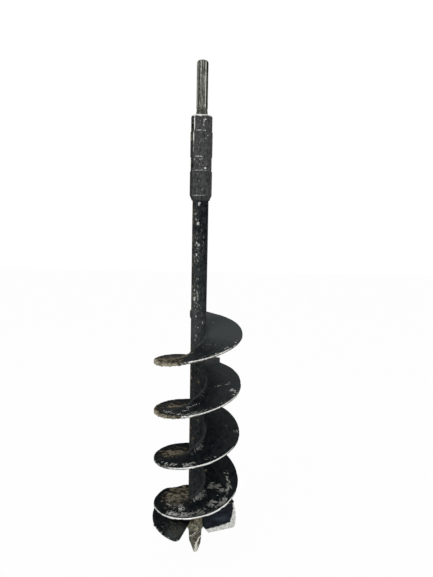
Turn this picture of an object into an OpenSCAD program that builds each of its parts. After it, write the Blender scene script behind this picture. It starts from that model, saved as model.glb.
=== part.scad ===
// Earth auger for a hammer drill: a slotted drive shank, a coupling of three plug-in sections held by
// cross pins, a centre tube with a welded flight of stamped turns, a short second wing opposite the
// flight's end, two cutter blades and a twisted pilot point.
// Millimetres, +Z up along the axis. The origin lies on the axis, at the shoulder of the drive shank.
// An azimuth is in degrees from +Y, clockwise seen from above: the way the tool turns and the flight descends.

/* [Drive shank] */
// Diameter of the drive shank
shank_d = 18; // [16:0.5:20]
// Length of the drive shank above its shoulder
shank_len = 81; // [76:1:100]
// Radius of the rounded rim at the shank's top
shank_round = 4; // [1:0.5:5]
// Height of the shallow ring above the shoulder
ring_rise = 5; // [3:0.5:8]
// Width of the shallow ring
ring_w = 6; // [3:0.5:8]
// Depth of the shallow ring
ring_depth = 0.4; // [0.2:0.1:0.8]
// Width of a drive slot
slot_w = 4.4; // [3:0.2:5]
// Depth of a drive slot
slot_depth = 2.2; // [1.5:0.1:2.6]
// Radius of the cutter that leaves a drive slot's run-out
slot_cutter_r = 35; // [25:1:45]
// Azimuths of the drive slots
slot_azimuths = [212, 127, 350];
// Radius of a lock groove's round bottom
lock_r = 3.2; // [2:0.2:4]
// Depth of a lock groove
lock_depth = 1.6; // [1:0.1:2]
// Length of a lock groove
lock_len = 24; // [18:1:26]
// Distance from the shank's top to the lock grooves
lock_drop = 7; // [5:0.5:9]
// Azimuths of the lock grooves
lock_azimuths = [80, 260];
// Diameter of the root below the shoulder
root_d = 15; // [12:0.5:15.5]
// Length of the root below the shoulder
root_len = 44; // [34:1:56]

/* [Coupling] */
// Outer diameter of the head section
head_d = 33.4; // [32:0.2:40]
// Outer diameter of the middle section's collar
collar_d = 35; // [32:0.2:42]
// Outer diameter of the middle section's neck
neck_d = 33.4; // [32:0.2:40]
// Outer diameter of the tube socket
socket_d = 35.4; // [33:0.2:42]
// Length of the head section
head_len = 25.2; // [23:0.2:34]
// Length of the middle section
adapter_len = 60; // [52:1:90]
// Length of the middle section's collar
collar_len = 38.2; // [25:0.2:40]
// Length of the tube socket
socket_len = 44; // [40:1:70]
// Diameter of the spigots between the sections
spigot_d = 26; // [22:0.5:28]
// Length of the spigots
spigot_len = 15.7; // [14:0.1:18]
// Chamfer round the head's top
head_chamfer = 2.4; // [1:0.2:4]
// Chamfer at each seam between two sections
seam_chamfer = 0.6; // [0.3:0.1:1.2]
// Length of the taper at the socket's mouth
mouth_taper = 6.3; // [3:0.1:9]
// Wall left round the tube at the end of that taper
mouth_wall = 1.7; // [1.2:0.1:3]
// Depth that the tube goes up into its socket
tube_insert = 33; // [25:1:33]
// Diameter of the cross pins
pin_d = 8; // [6:0.2:9]
// Height of a cross pin's axis above the seam below it
pin_rise = 7.8; // [7:0.1:9]
// Depth of a pin's ends below the outer face
pin_recess = 1.7; // [0.5:0.1:3]
// Chamfer on a pin's ends
pin_chamfer = 0.8; // [0.4:0.1:1.2]
// Azimuth of the cross pins' visible ends
pin_azimuth = 239; // [200:1:280]

/* [Centre tube] */
// Outer diameter of the centre tube
tube_d = 26; // [24:0.5:28]
// Wall of the centre tube
tube_wall = 3.5; // [2.5:0.1:4.5]
// Length of bare tube from the socket's mouth to the flight's start
tube_free = 198.7; // [80:1:400]
// Length of tube below the end of the flight's last turn
tube_below = 18; // [14:0.5:24]

/* [Flight] */
// Outer diameter of the flight
flight_d = 150; // [130:1:200]
// Drop of the flight in one turn
flight_pitch = 89; // [75:1:110]
// Thickness of the flight, tail and wing plates
plate_t = 3.5; // [2.5:0.1:5]
// Bevel worn on the flight's rim
rim_bevel = 0.7; // [0.3:0.1:1.1]
// How far the first turn's rim is bent down at the left
rim_droop = 6.3; // [0:0.1:8]
// How much less each turn after it is bent
droop_fade = 1.1; // [0:0.1:2]
// How far the first turn's end springs up at the rim, above the start of the second
end_spring = 9; // [0:0.5:11]
// Angle after the seam at which that end is cut off
spring_angle = 26; // [18:1:34]
// How far the front of the last turn is bent down
last_turn_sag = 5.2; // [0:0.1:8]
// How far the end of the last turn is bent up
last_turn_lift = 2.5; // [0:0.1:5]
// Outer diameter of the tail and the wing
wing_d = 152.6; // [150:0.2:204]
// Angle that the tail covers after the last turn
tail_angle = 70; // [60:1:80]
// Distance of the wing below the tail
wing_drop = 4; // [0:0.1:8]
// Azimuth of the wing's trailing edge
wing_start = 200.5; // [195:0.5:215]
// Angle that the wing covers
wing_angle = 79; // [70:1:85]
// How far the wing's rim stands out at its trailing corner
wing_swell = 4.4; // [0:0.2:6]
// Radius of the wing's trailing corner
wing_corner = 8; // [3:0.5:12]

/* [Cutter blades] */
// Thickness of a cutter blade
blade_t = 5; // [4:0.1:7]
// Length of a cutter blade down its slope
blade_len = 40.8; // [34:0.2:46]
// Slope of a cutter blade
blade_slope = 35; // [25:1:42]
// Angle of a cutting edge from the X axis
blade_turn = 16.6; // [10:0.2:22]
// Distance of a cutting edge in front of the axis
blade_lead = 28.3; // [25:0.1:32]
// Distance from the axis to a cutting edge's outer corner
blade_front_r = 73.2; // [66:0.1:76]
// Radius of that outer corner
blade_round = 5; // [2:0.5:8]
// How far the blade's outer edge bulges
blade_bulge = 2.5; // [0:0.1:4]
// Distance of the blade's inner edge from the weld round the tube's end
blade_gap = 1.2; // [1:0.1:4]
// Distance of the blade's inner rear corner from the tube
blade_heel = 1.1; // [0.8:0.1:3]
// Distance behind the cutting edge at which the inner edge turns in
blade_waist = 22; // [18:0.5:26]
// Length of the cut at the inner end of the cutting edge
blade_toe = 11; // [7:0.5:14]
// Width of the bevel ground behind a cutting edge
bevel_w = 5; // [3:0.2:8]
// Height of the land left at a cutting edge
bevel_land = 1; // [0.5:0.1:2]

/* [Pilot point] */
// Length of the pilot below the tube's end
pilot_len = 62; // [50:1:90]
// Length of the pilot's round boss
boss_len = 13; // [10:0.5:16]
// Length of the pilot's plug inside the tube
plug_len = 22; // [15:1:40]
// Width of the pilot's twisted bar
pilot_w = 24.4; // [20:0.2:26]
// Thickness of the pilot's twisted bar
pilot_t = 9; // [6:0.2:11]
// Share of the bar's length over which it swells to the boss
pilot_swell = 0.36; // [0.1:0.02:0.5]
// Power of the bar's taper to the tip, lower for a blunter tip
pilot_taper = 0.46; // [0.3:0.02:0.8]
// Width left at the pilot's tip
tip_w = 3; // [2:0.2:5]
// Azimuth of the bar's edge at the boss
pilot_azimuth = 187; // [150:1:220]
// Twist of the bar from the boss to the tip
pilot_twist = 133; // [90:1:180]

/* [Welds] */
// Leg of the fillet welds
weld_leg = 4; // [3:0.2:6]
// Width of a seam weld between two turns
seam_weld_w = 6; // [4:0.2:9]
// Height of a seam weld above the plate
seam_weld_h = 1.4; // [0.8:0.1:2]
// Height of the weld round the pilot's boss
pilot_weld_h = 17; // [12:0.5:20]
// Distance of that weld's thickest place below the tube's end
pilot_weld_drop = 3; // [2:0.5:5]
// How far that weld stands out from the tube
pilot_weld_r = 2.1; // [1:0.1:3]

/* [Fits] */
// Radial clearance of the cross pins
pin_clearance = 0.05; // [0.02:0.01:0.08]
// Radial clearance of the spigots, the root and the plug
spigot_clearance = 0.1; // [0.05:0.05:0.2]
// Radial clearance of the tube in its socket
tube_clearance = 0.1; // [0.05:0.05:0.2]
// Gap at the blind end of a socket and under a seated plate
seat_gap = 0.3; // [0.2:0.05:0.4]
// Gap between the tube and the inner edge of a plate or weld
root_gap = 0.2; // [0.1:0.05:0.3]
// Gap between a weld and the plate it lies on
weld_gap = 0.3; // [0.25:0.05:0.4]
// Angle left open between two turns of the flight
turn_gap = 0.4; // [0.2:0.1:0.8]

/* [Hidden] */
$fn = 64;

BLACK = "#23272a";
BARE = "#7c7c72";
WORN = "#8d8f8c";
WELD = "#3b3b38";

turns = 4;
turn_steps = 48;
plate_spans = 3;
pilot_rings = 24;
round_steps = 6;
rim_steps = 20;
over = 1;

shank_r = shank_d / 2;
tube_r = tube_d / 2;
flight_r = flight_d / 2;
wing_r = wing_d / 2;
bore_r = tube_r - tube_wall;
plate_in_r = tube_r + root_gap;
weld_toe_r = plate_in_r + weld_leg;
rim_r = flight_r - rim_bevel;
socket_depth = spigot_len + seat_gap;

z_seam_upper = -head_len;
z_seam_lower = z_seam_upper - adapter_len;
z_mouth = z_seam_lower - socket_len;
z_tube_top = z_mouth + tube_insert;
z_flight = z_mouth - tube_free;
z_tail = flight_level(360 * turns);
z_wing = z_tail - wing_drop;
z_tube_end = z_flight - flight_pitch * turns - tube_below;

// Geometry of the helix

function polar(azimuth, r, z) = [r * sin(azimuth), r * cos(azimuth), z];

// Level of the flight's middle plane: an even helix, whose last turn is bent by use
function flight_level(a) = z_flight - flight_pitch * a / 360 + last_turn_bend(a - 360 * (turns - 1));
function last_turn_bend(a) = a <= 0 ? 0 : last_turn_lift * a / 360 - last_turn_sag * sin(a / 2);

// Half of the plate's height along Z at a radius, for a plate of even thickness on the helix's slope
function plate_half(r) = plate_t / 2 / cos(atan(flight_pitch / (2 * PI * r)));

function smooth(t) = let (x = min(max(t, 0), 1)) x * x * (3 - 2 * x);

// How far a point of the flight is bent from the helix. Use has bent the left of the upper turns down, and the end
// of the first turn springs up; both grow from nothing at the tube to the rim.
function rim_bend(a, r) =
    let (number = min(floor(a / 360), turns - 1), azimuth = a - 360 * number,
         droop = number < turns - 1 && azimuth > 120 && azimuth < 350
             ? (rim_droop - droop_fade * number) * pow(sin((azimuth - 120) * 180 / 230), 2) : 0,
         spring = number == 1 && azimuth <= spring_angle ? end_spring * max(azimuth - 4, 0) / (spring_angle - 4) : 0)
    (spring - droop) * smooth((r - plate_in_r) / (flight_r - plate_in_r));

// Radii at which the flight's faces are split, closer together near the tube where the slope is steep
plate_radii = concat([plate_in_r],
    [for (i = [0 : plate_spans]) weld_toe_r * pow(rim_r / weld_toe_r, i / plate_spans)]);

// The flight's cross-section at one azimuth, with a bevelled rim
function flight_ring(a) =
    let (z = flight_level(a), edge = plate_half(rim_r) - rim_bevel)
    concat([for (r = plate_radii) polar(a, r, z + rim_bend(a, r) + plate_half(r))],
        [for (side = [1, -1]) polar(a, flight_r, z + rim_bend(a, flight_r) + side * edge)],
        [for (i = [len(plate_radii) - 1 : -1 : 0]) let (r = plate_radii[i])
            polar(a, r, z + rim_bend(a, r) - plate_half(r))]);

// Cross-section of the fillet weld on top of the flight at one azimuth, with a slightly full face
function weld_ring(a) =
    let (z = flight_level(a) + weld_gap, root = z + plate_half(plate_in_r), toe = z + plate_half(weld_toe_r),
         full = 0.6 * weld_leg)
    [polar(a, plate_in_r, root),
     polar(a, plate_in_r, root + weld_leg),
     polar(a, plate_in_r + full, toe + full),
     polar(a, weld_toe_r, toe)];

// A closed solid through a row of rings with equal, even counts of points.
// The first half of a ring runs along one side of the section, and the second half back along the other.
module sweep(rings) {
    count = len(rings[0]);
    last = len(rings) - 1;
    sides = [for (i = [0 : last - 1], j = [0 : count - 1], half = [0, 1])
        let (k = (j + 1) % count)
        half == 0 ? [i * count + j, i * count + k, (i + 1) * count + k]
                  : [i * count + j, (i + 1) * count + k, (i + 1) * count + j]];
    cap = [for (j = [0 : count / 2 - 2], half = [0, 1])
        half == 0 ? [j, j + 1, count - 2 - j] : [j, count - 2 - j, count - 1 - j]];
    first_cap = [for (face = cap) [face[2], face[1], face[0]]];
    last_cap = [for (face = cap) [for (corner = face) last * count + corner]];
    polyhedron([for (ring = rings, point = ring) point], concat(sides, first_cap, last_cap), convexity = 6);
}

function steps(from, to, count) = [for (i = [0 : count]) from + (to - from) * i / count];

// Drive shank and coupling

// A milled slot, open at the shank's top, whose run-out ends in the middle of the shallow ring
module drive_slot(azimuth) {
    run_out = sqrt(2 * slot_cutter_r * slot_depth - slot_depth * slot_depth);
    z_cutter = ring_rise + ring_w / 2 + run_out;
    rotate([0, 0, -azimuth]) translate([-slot_w / 2, shank_r - slot_depth, z_cutter]) {
        cube([slot_w, slot_depth + over, shank_len]);
        translate([0, slot_cutter_r, 0]) rotate([0, 90, 0]) cylinder(r = slot_cutter_r, h = slot_w);
    }
}

module lock_groove(azimuth) {
    straight = lock_len - 2 * lock_r;
    rotate([0, 0, -azimuth])
        translate([0, shank_r + lock_r - lock_depth, shank_len - lock_drop - lock_len + lock_r]) {
            cylinder(r = lock_r, h = straight);
            sphere(r = lock_r);
            translate([0, 0, straight]) sphere(r = lock_r);
        }
}

module drive_shank() {
    color(BARE) difference() {
        union() {
            rotate_extrude() {
                square([shank_r, shank_len - shank_round]);
                square([shank_r - shank_round, shank_len]);
                translate([shank_r - shank_round, shank_len - shank_round]) circle(r = shank_round);
            }
            translate([0, 0, -root_len]) cylinder(d = root_d, h = root_len);
        }
        rotate_extrude() translate([shank_r - ring_depth, ring_rise]) square([over, ring_w]);
        for (azimuth = slot_azimuths) drive_slot(azimuth);
        for (azimuth = lock_azimuths) lock_groove(azimuth);
        pin_hole(z_seam_upper);
    }
}

module spigot(z_seam) {
    translate([0, 0, z_seam]) cylinder(d = spigot_d, h = spigot_len);
}

module spigot_socket(z_seam) {
    translate([0, 0, z_seam - over])
        cylinder(r = spigot_d / 2 + spigot_clearance, h = socket_depth + over);
}

module root_bore() {
    translate([0, 0, -root_len - seat_gap])
        cylinder(r = root_d / 2 + spigot_clearance, h = root_len + seat_gap + over);
}

module pin_hole(z_seam) {
    translate([0, 0, z_seam + pin_rise]) rotate([0, 0, -pin_azimuth]) rotate([90, 0, 0])
        cylinder(r = pin_d / 2 + pin_clearance, h = max(head_d, neck_d) + 2 * over, center = true);
}

module shank_head() {
    head_r = head_d / 2;
    color(BLACK) difference() {
        rotate_extrude() polygon([[0, z_seam_upper], [head_r - seam_chamfer, z_seam_upper],
            [head_r, z_seam_upper + seam_chamfer], [head_r, -head_chamfer], [head_r - head_chamfer, 0], [0, 0]]);
        root_bore();
        spigot_socket(z_seam_upper);
        pin_hole(z_seam_upper);
    }
}

module coupling_adapter() {
    collar_r = collar_d / 2;
    neck_r = neck_d / 2;
    z_step = z_seam_upper - collar_len;
    color(BLACK) difference() {
        union() {
            rotate_extrude() polygon([[0, z_seam_lower], [neck_r - seam_chamfer, z_seam_lower],
                [neck_r, z_seam_lower + seam_chamfer], [neck_r, z_step], [collar_r - seam_chamfer, z_step],
                [collar_r, z_step + seam_chamfer], [collar_r, z_seam_upper - seam_chamfer],
                [collar_r - seam_chamfer, z_seam_upper], [0, z_seam_upper]]);
            spigot(z_seam_upper);
        }
        root_bore();
        spigot_socket(z_seam_lower);
        pin_hole(z_seam_upper);
        pin_hole(z_seam_lower);
    }
}

module tube_socket() {
    socket_r = socket_d / 2;
    mouth_r = tube_r + tube_clearance + mouth_wall;
    color(BLACK) difference() {
        union() {
            rotate_extrude() polygon([[0, z_mouth], [mouth_r, z_mouth], [socket_r, z_mouth + mouth_taper],
                [socket_r, z_seam_lower - seam_chamfer], [socket_r - seam_chamfer, z_seam_lower],
                [0, z_seam_lower]]);
            spigot(z_seam_lower);
        }
        translate([0, 0, z_mouth - over])
            cylinder(r = tube_r + tube_clearance, h = tube_insert + seat_gap + over);
        pin_hole(z_seam_lower);
    }
}

// A cross pin above a seam, through a section of the given diameter
module lock_pin(z_seam, section_d) {
    length = section_d - 2 * pin_recess;
    color(WORN) translate([0, 0, z_seam + pin_rise]) rotate([0, 0, -pin_azimuth]) rotate([90, 0, 0])
        rotate_extrude() polygon([[0, -length / 2], [pin_d / 2 - pin_chamfer, -length / 2],
            [pin_d / 2, -length / 2 + pin_chamfer], [pin_d / 2, length / 2 - pin_chamfer],
            [pin_d / 2 - pin_chamfer, length / 2], [0, length / 2]]);
}

module upper_lock_pin() { lock_pin(z_seam_upper, head_d); }

module lower_lock_pin() { lock_pin(z_seam_lower, neck_d); }

// Centre tube and flight

module centre_tube() {
    color(BLACK) difference() {
        translate([0, 0, z_tube_end]) cylinder(r = tube_r, h = z_tube_top - z_tube_end);
        translate([0, 0, z_tube_end - over]) cylinder(r = bore_r, h = z_tube_top - z_tube_end + 2 * over);
    }
}

// A fillet weld round the tube over an arc, standing up from a level or hanging down from it
module ring_weld(level, azimuth, angle, up) {
    rotate([0, 0, -azimuth]) rotate([0, 0, 90 - angle]) rotate_extrude(angle = angle)
        polygon([[plate_in_r, level], [plate_in_r + weld_leg, level], [plate_in_r, level + up * weld_leg]]);
}

module socket_weld() {
    color(WELD) ring_weld(z_mouth - weld_gap, 0, 360, -1);
}

module flight_turn(number) {
    from = 360 * (number - 1) + turn_gap / 2;
    to = 360 * number - turn_gap / 2;
    cut = 360 * (number - 1) + spring_angle;
    angles = number == 2 ? concat(steps(from, cut, 5), steps(cut + 2, to, turn_steps - 4)) : steps(from, to, turn_steps);
    color(BLACK) sweep([for (a = angles) flight_ring(a)]);
}

module flight_weld(number) {
    from = 360 * (number - 1) + turn_gap / 2;
    to = 360 * number - turn_gap / 2;
    color(WELD) sweep([for (a = steps(from, to, turn_steps)) weld_ring(a)]);
}

// A flat plate round the tube, centred on a level and running clockwise from an azimuth
module sector_plate(level, azimuth, angle) {
    reach = 2 * wing_r;
    translate([0, 0, level - plate_t / 2]) linear_extrude(plate_t) difference() {
        intersection() {
            circle(r = wing_r, $fn = 128);
            polygon([[0, 0], for (a = steps(azimuth, azimuth + angle, 2)) reach * [sin(a), cos(a)]]);
        }
        circle(r = plate_in_r);
    }
}

module flight_tail() {
    color(BLACK) sector_plate(z_tail, turn_gap / 2, tail_angle - turn_gap / 2);
}

module tail_weld() {
    color(WELD) ring_weld(z_tail + plate_t / 2 + weld_gap, turn_gap, tail_angle - 2 * turn_gap, 1);
}

// Outline of the wing: a round trailing corner, and a rim that swells from the leading end to that corner
function wing_outline() =
    let (end = wing_start + wing_angle, middle_r = wing_r + wing_swell - wing_corner,
         round_end = wing_start + asin(wing_corner / middle_r))
    concat([[0, 0]],
        [for (a = steps(wing_start - 90, round_end, round_steps))
            middle_r * [sin(round_end), cos(round_end)] + wing_corner * [sin(a), cos(a)]],
        [for (i = [1 : rim_steps])
            let (share = i / rim_steps, a = round_end + share * (end - round_end))
            (wing_r + wing_swell * pow(1 - share, 1.3)) * [sin(a), cos(a)]]);

module balance_wing() {
    color(BLACK) translate([0, 0, z_wing - plate_t / 2]) linear_extrude(plate_t) difference() {
        polygon(wing_outline());
        circle(r = plate_in_r);
    }
}

module wing_weld() {
    color(WELD) ring_weld(z_wing + plate_t / 2 + weld_gap, wing_start, wing_angle, 1);
}

// A low rounded bead across the plates where one turn of the flight meets the next, which lies on their top
module seam_weld(number) {
    across = [-1, -0.5, 0, 0.5, 1];
    color(WELD) sweep([for (r = steps(weld_toe_r + seat_gap, rim_r - rim_bevel, 12))
        let (half_angle = seam_weld_w / 2 / r * 180 / PI, rise = plate_half(r) + weld_gap)
        concat(
            [for (s = across) let (a = 360 * number + s * half_angle) polar(a, r, flight_level(a) + rise)],
            [for (s = -across) let (a = 360 * number + s * half_angle)
                polar(a, r, flight_level(a) + rise + seam_weld_h * (1.15 - s * s))])]);
}

module seam_welds() {
    for (number = [1 : turns - 1]) seam_weld(number);
}

// Cutter blades

blade_depth = blade_len * cos(blade_slope);
blade_drop = blade_len * sin(blade_slope) + seat_gap;
blade_rear = blade_depth - blade_lead;
blade_front_u = sqrt(blade_front_r * blade_front_r - blade_lead * blade_lead);
blade_rear_u = sqrt(wing_r * wing_r - blade_rear * blade_rear) - seat_gap;
blade_root_u = plate_in_r + pilot_weld_r + blade_gap;

// Outline of a blade in its own plane: u along the cutting edge from the axis, v up the slope from it
function blade_outline() =
    let (shift = (blade_rear_u - blade_front_u) * blade_round / blade_len)
    concat([[blade_root_u, 0]],
        [for (a = steps(-90, 0, round_steps))
            [blade_front_u - blade_round + (blade_round + max(a + 90, 0) / 90 * shift) * cos(a),
             blade_round + blade_round * sin(a)]],
        [for (s = steps(1 / 6, 5 / 6, 4))
            let (v = blade_round + s * (blade_len - blade_round))
            [blade_front_u + (blade_rear_u - blade_front_u) * v / blade_len + blade_bulge * 4 * s * (1 - s), v]],
        [[blade_rear_u, blade_len], [tube_r + blade_heel, blade_len],
         [(blade_root_u + tube_r + blade_heel) / 2 - seat_gap, blade_waist / cos(blade_slope)],
         [blade_root_u - blade_toe / 2, blade_toe / cos(blade_slope)]]);

// Carries a blade from its own plane to the underside of a plate at a level
module under_plate(level, turn) {
    rotate([0, 0, turn + blade_turn])
        translate([0, -blade_lead, level - plate_t / 2 - blade_drop]) children();
}

module cutter_blade(level, turn) {
    bevel_angle = atan((blade_t - bevel_land) / bevel_w);
    color(WORN) under_plate(level, turn) rotate([blade_slope, 0, 0]) difference() {
        translate([0, 0, -blade_t]) linear_extrude(blade_t) polygon(blade_outline());
        translate([0, bevel_w, 0]) rotate([180 + bevel_angle, 0, 0]) translate([0, 0, -blade_t])
            cube([wing_d, 2 * blade_t + bevel_w, blade_t]);
    }
}

// The fillet weld between a plate's underside and a blade's rear face
module blade_weld(level, turn) {
    foot = blade_t * sin(blade_slope);
    drop = blade_t * cos(blade_slope);
    color(WELD) under_plate(level, turn)
        translate([blade_root_u, blade_depth, blade_drop]) rotate([90, 0, 90])
            linear_extrude(blade_rear_u - blade_root_u - weld_leg)
                polygon([[seat_gap, -weld_gap], [foot + weld_leg, -weld_gap], [foot + seat_gap, -drop]]);
}

module main_blade() { cutter_blade(z_tail, 0); }

module balance_blade() { cutter_blade(z_wing, 180); }

module main_blade_weld() { blade_weld(z_tail, 0); }

module balance_blade_weld() { blade_weld(z_wing, 180); }

// Pilot point

// Cross-section of the twisted bar at a share of its length: a flat lens that swells to the boss above and narrows
// towards the tip
function pilot_ring(s) =
    let (flat = smooth(s / pilot_swell), boss = 0.94 * tube_r * (1 - flat),
         w = boss + flat * max(pilot_w / 2 * pow(1 - s * s, pilot_taper), tip_w / 2),
         t = boss + flat * pilot_t / 2 * (1 - 0.6 * s),
         z = z_tube_end - boss_len + over - s * (pilot_len - boss_len + over), a = pilot_azimuth + pilot_twist * s)
    [for (q = [[1, -0.3], [0.5, -1], [-0.5, -1], [-1, -0.3], [-1, 0.3], [-0.5, 1], [0.5, 1], [1, 0.3]])
        let (along = q[0] * w, across = q[1] * min(t, w))
        [along * sin(a) + across * cos(a), along * cos(a) - across * sin(a), z]];

module pilot_point() {
    color(BARE) union() {
        translate([0, 0, z_tube_end - boss_len]) cylinder(r = tube_r, h = boss_len);
        translate([0, 0, z_tube_end - over]) cylinder(r = bore_r - spigot_clearance, h = plug_len + over);
        sweep([for (s = steps(0, 1, pilot_rings)) pilot_ring(s)]);
    }
}

module pilot_weld() {
    color(WELD) translate([0, 0, z_tube_end - pilot_weld_drop]) rotate_extrude()
        polygon([for (a = steps(-90, 90, 2 * round_steps))
            [plate_in_r + pilot_weld_r * cos(a), pilot_weld_h / 2 * sin(a)]]);
}

drive_shank();
shank_head();
coupling_adapter();
tube_socket();
upper_lock_pin();
lower_lock_pin();
centre_tube();
socket_weld();
flight_turn(1);  // flight_turn_1
flight_turn(2);  // flight_turn_2
flight_turn(3);  // flight_turn_3
flight_turn(4);  // flight_turn_4
flight_tail();
flight_weld(1);  // flight_weld_1
flight_weld(2);  // flight_weld_2
flight_weld(3);  // flight_weld_3
flight_weld(4);  // flight_weld_4
tail_weld();
seam_welds();
balance_wing();
wing_weld();
main_blade();
balance_blade();
main_blade_weld();
balance_blade_weld();
pilot_point();
pilot_weld();
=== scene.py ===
"""Looks of an earth auger, made as surfaces round its packed construction.

Lengths are metres in the construction's frame: +Z runs up the axis from the shoulder of the drive shank.
Marks of wear are given in millimetres. An azimuth is in degrees from +Y, clockwise seen from above, so
the front of the tool lies at 180, its right side at 90 and its left side at 270.
"""

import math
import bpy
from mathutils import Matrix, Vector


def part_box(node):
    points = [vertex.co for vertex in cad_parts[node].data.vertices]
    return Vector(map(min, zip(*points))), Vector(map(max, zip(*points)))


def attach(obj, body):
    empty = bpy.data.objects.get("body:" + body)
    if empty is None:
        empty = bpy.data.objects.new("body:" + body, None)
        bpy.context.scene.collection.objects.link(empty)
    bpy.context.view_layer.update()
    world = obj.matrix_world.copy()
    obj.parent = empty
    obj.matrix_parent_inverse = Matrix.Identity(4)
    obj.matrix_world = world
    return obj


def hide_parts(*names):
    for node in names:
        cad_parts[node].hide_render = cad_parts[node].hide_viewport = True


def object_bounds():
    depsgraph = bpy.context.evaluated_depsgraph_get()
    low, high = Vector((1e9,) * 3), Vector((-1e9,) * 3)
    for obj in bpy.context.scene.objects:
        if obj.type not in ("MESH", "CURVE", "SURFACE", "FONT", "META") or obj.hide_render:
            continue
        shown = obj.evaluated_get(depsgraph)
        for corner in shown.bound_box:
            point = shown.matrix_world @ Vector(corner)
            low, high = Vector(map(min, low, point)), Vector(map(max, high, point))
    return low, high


bl_info = {
    "name": "Earth auger",
    "version": (1, 0, 0),
    "blender": (4, 5, 0),
    "location": "View3D > Sidebar > Auger",
    "description": "Surfaces, finishes and studio for an earth auger",
    "category": "Object",
}

from functools import partial

import bmesh
import bpy
import numpy as np
from bpy.props import FloatProperty, FloatVectorProperty, PointerProperty
from bpy.types import Operator, Panel, PropertyGroup
from mathutils import Matrix, Vector

MM = 0.001

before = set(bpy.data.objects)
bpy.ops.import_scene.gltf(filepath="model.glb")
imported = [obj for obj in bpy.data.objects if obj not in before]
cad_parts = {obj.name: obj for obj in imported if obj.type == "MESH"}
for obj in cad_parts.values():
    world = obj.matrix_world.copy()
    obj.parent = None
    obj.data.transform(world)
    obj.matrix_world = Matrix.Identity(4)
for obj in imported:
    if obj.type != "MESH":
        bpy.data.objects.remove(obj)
CAD_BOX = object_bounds()


def low(name):
    """A construction node's lowest corner."""
    return np.array(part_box(name)[0])


def high(name):
    """A construction node's highest corner."""
    return np.array(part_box(name)[1])


def plate_half(r):
    """Half the flight plate's height along Z at radius r: half its thickness over the cosine of its
    slope."""
    return PLATE_T / 2 * np.sqrt(1 + (PITCH / (2 * np.pi * r)) ** 2)


# The tube, the flight and the second wing, with angles in degrees
TUBE_R = high("centre_tube")[0]
TUBE_TOP = high("centre_tube")[2]
TUBE_END = low("centre_tube")[2]
TUBE_WALL = 3.5 * MM
PLATE_IN_R = TUBE_R + 0.2 * MM
FLIGHT_R = -low("flight_turn_2")[1]
PITCH = high("flight_turn_3")[2] - high("flight_turn_4")[2]
TURNS = 4
TURN_GAP = 0.4
PLATE_T = high("flight_tail")[2] - low("flight_tail")[2]
TAIL_LEVEL = high("flight_tail")[2] - PLATE_T / 2
TAIL_ANGLE = 70
WING_LEVEL = high("balance_wing")[2] - PLATE_T / 2
WING_R = high("flight_tail")[1]
WING_START = 200.5
WING_ANGLE = 79
WING_SWELL = 4.4 * MM
WING_CORNER = 8 * MM
FLIGHT_TOP = high("flight_turn_1")[2] - plate_half(PLATE_IN_R) + PITCH * TURN_GAP / 2 / 360
LAST_LIFT = TAIL_LEVEL - FLIGHT_TOP + TURNS * PITCH

# Bends from use: where the droop and the sprung end begin and how far they run, then bell curves, each
# with its middle, width and height in millimetres, by angle down the whole flight and by azimuth on the
# last turn
DROOP_START = 120
DROOP_ANGLE = 230
SPRING_START = 4
SPRING_END = 33
RIM_LIFTS = ((60, 30, 2), (420, 30, 2.5), (752, 48, 6), (1120, 45, 9))
LAST_HUMPS = ((306, 12, 2), (328, 9, -2), (347, 9, 1.2))

# How far a weld sinks into its plate or tube, how far the seams between the turns end short of the rim,
# and a tack left on the tube
WELD_SINK = 0.2 * MM
SEAM_SHORT = 1.4 * MM
TACK_SPAN = (-325 * MM, -310 * MM)
TACK_AZIMUTH = 266
TACK_SINK = 0.3 * MM
TACK_HALF = 3.6 * MM
TACK_HEIGHT = 2.2 * MM

# How finely a plate's section is drawn, where the crust of soil begins and is full, in from the rim,
# and how soiled the underside is
FLAT_POINTS = 36
ROUND_POINTS = 7
CRUST_FROM = 10 * MM
CRUST_FULL = 3 * MM
UNDER_SOIL = 0.7

# The coupling and the drive shank
HEAD_R = high("shank_head")[0]
HEAD_CHAMFER = 2.4 * MM
COLLAR_R = high("coupling_adapter")[0]
SOCKET_R = high("tube_socket")[0]
SEAM_CHAMFER = 0.6 * MM
ROOT_R = 7.6 * MM
ROOT_END = low("drive_shank")[2]
SPIGOT_R = 13 * MM
FIT = 0.1 * MM
SEAT_GAP = 0.3 * MM
UPPER_SEAM = low("shank_head")[2]
LOWER_SEAM = low("coupling_adapter")[2]
SPIGOT_LEN = high("coupling_adapter")[2] - UPPER_SEAM
SOCKET_DEPTH = SPIGOT_LEN + SEAT_GAP
COLLAR_STEP = UPPER_SEAM - 38.2 * MM
MOUTH = low("tube_socket")[2]
MOUTH_R = TUBE_R + 1.8 * MM
MOUTH_TAPER = 6.3 * MM
PIN_R = 4.05 * MM
PIN_AZIMUTH = 239
PIN_LEVELS = [(low(pin)[2] + high(pin)[2]) / 2 for pin in ("upper_lock_pin", "lower_lock_pin")]
SHANK_R = 9 * MM
SHANK_HIGHLIGHT_LINES = (146, 228)

# The cutter blades, the pilot point and the bead round its boss
BLADE_SLOPE = math.radians(35)
BLADE_TURN = 16.6
BLADE_ROOT = PLATE_IN_R + 3.3 * MM
BLADE_HEEL = TUBE_R + 1.1 * MM
BLADE_WAIST = 22 * MM
BLADE_TOE = 11 * MM
PILOT_BOSS = 13 * MM
PILOT_PLUG = 22 * MM
PILOT_AZIMUTH = 187
PILOT_TWIST = 133
PILOT_TIP = low("pilot_point")[2]
PILOT_TIP_WIDTH = 3.4 * MM
BEAD_DROP = 3 * MM
BEAD_RISE = 2.5 * MM
BEAD_HALF = 8.5 * MM
BEAD_DROPS = 19

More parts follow.
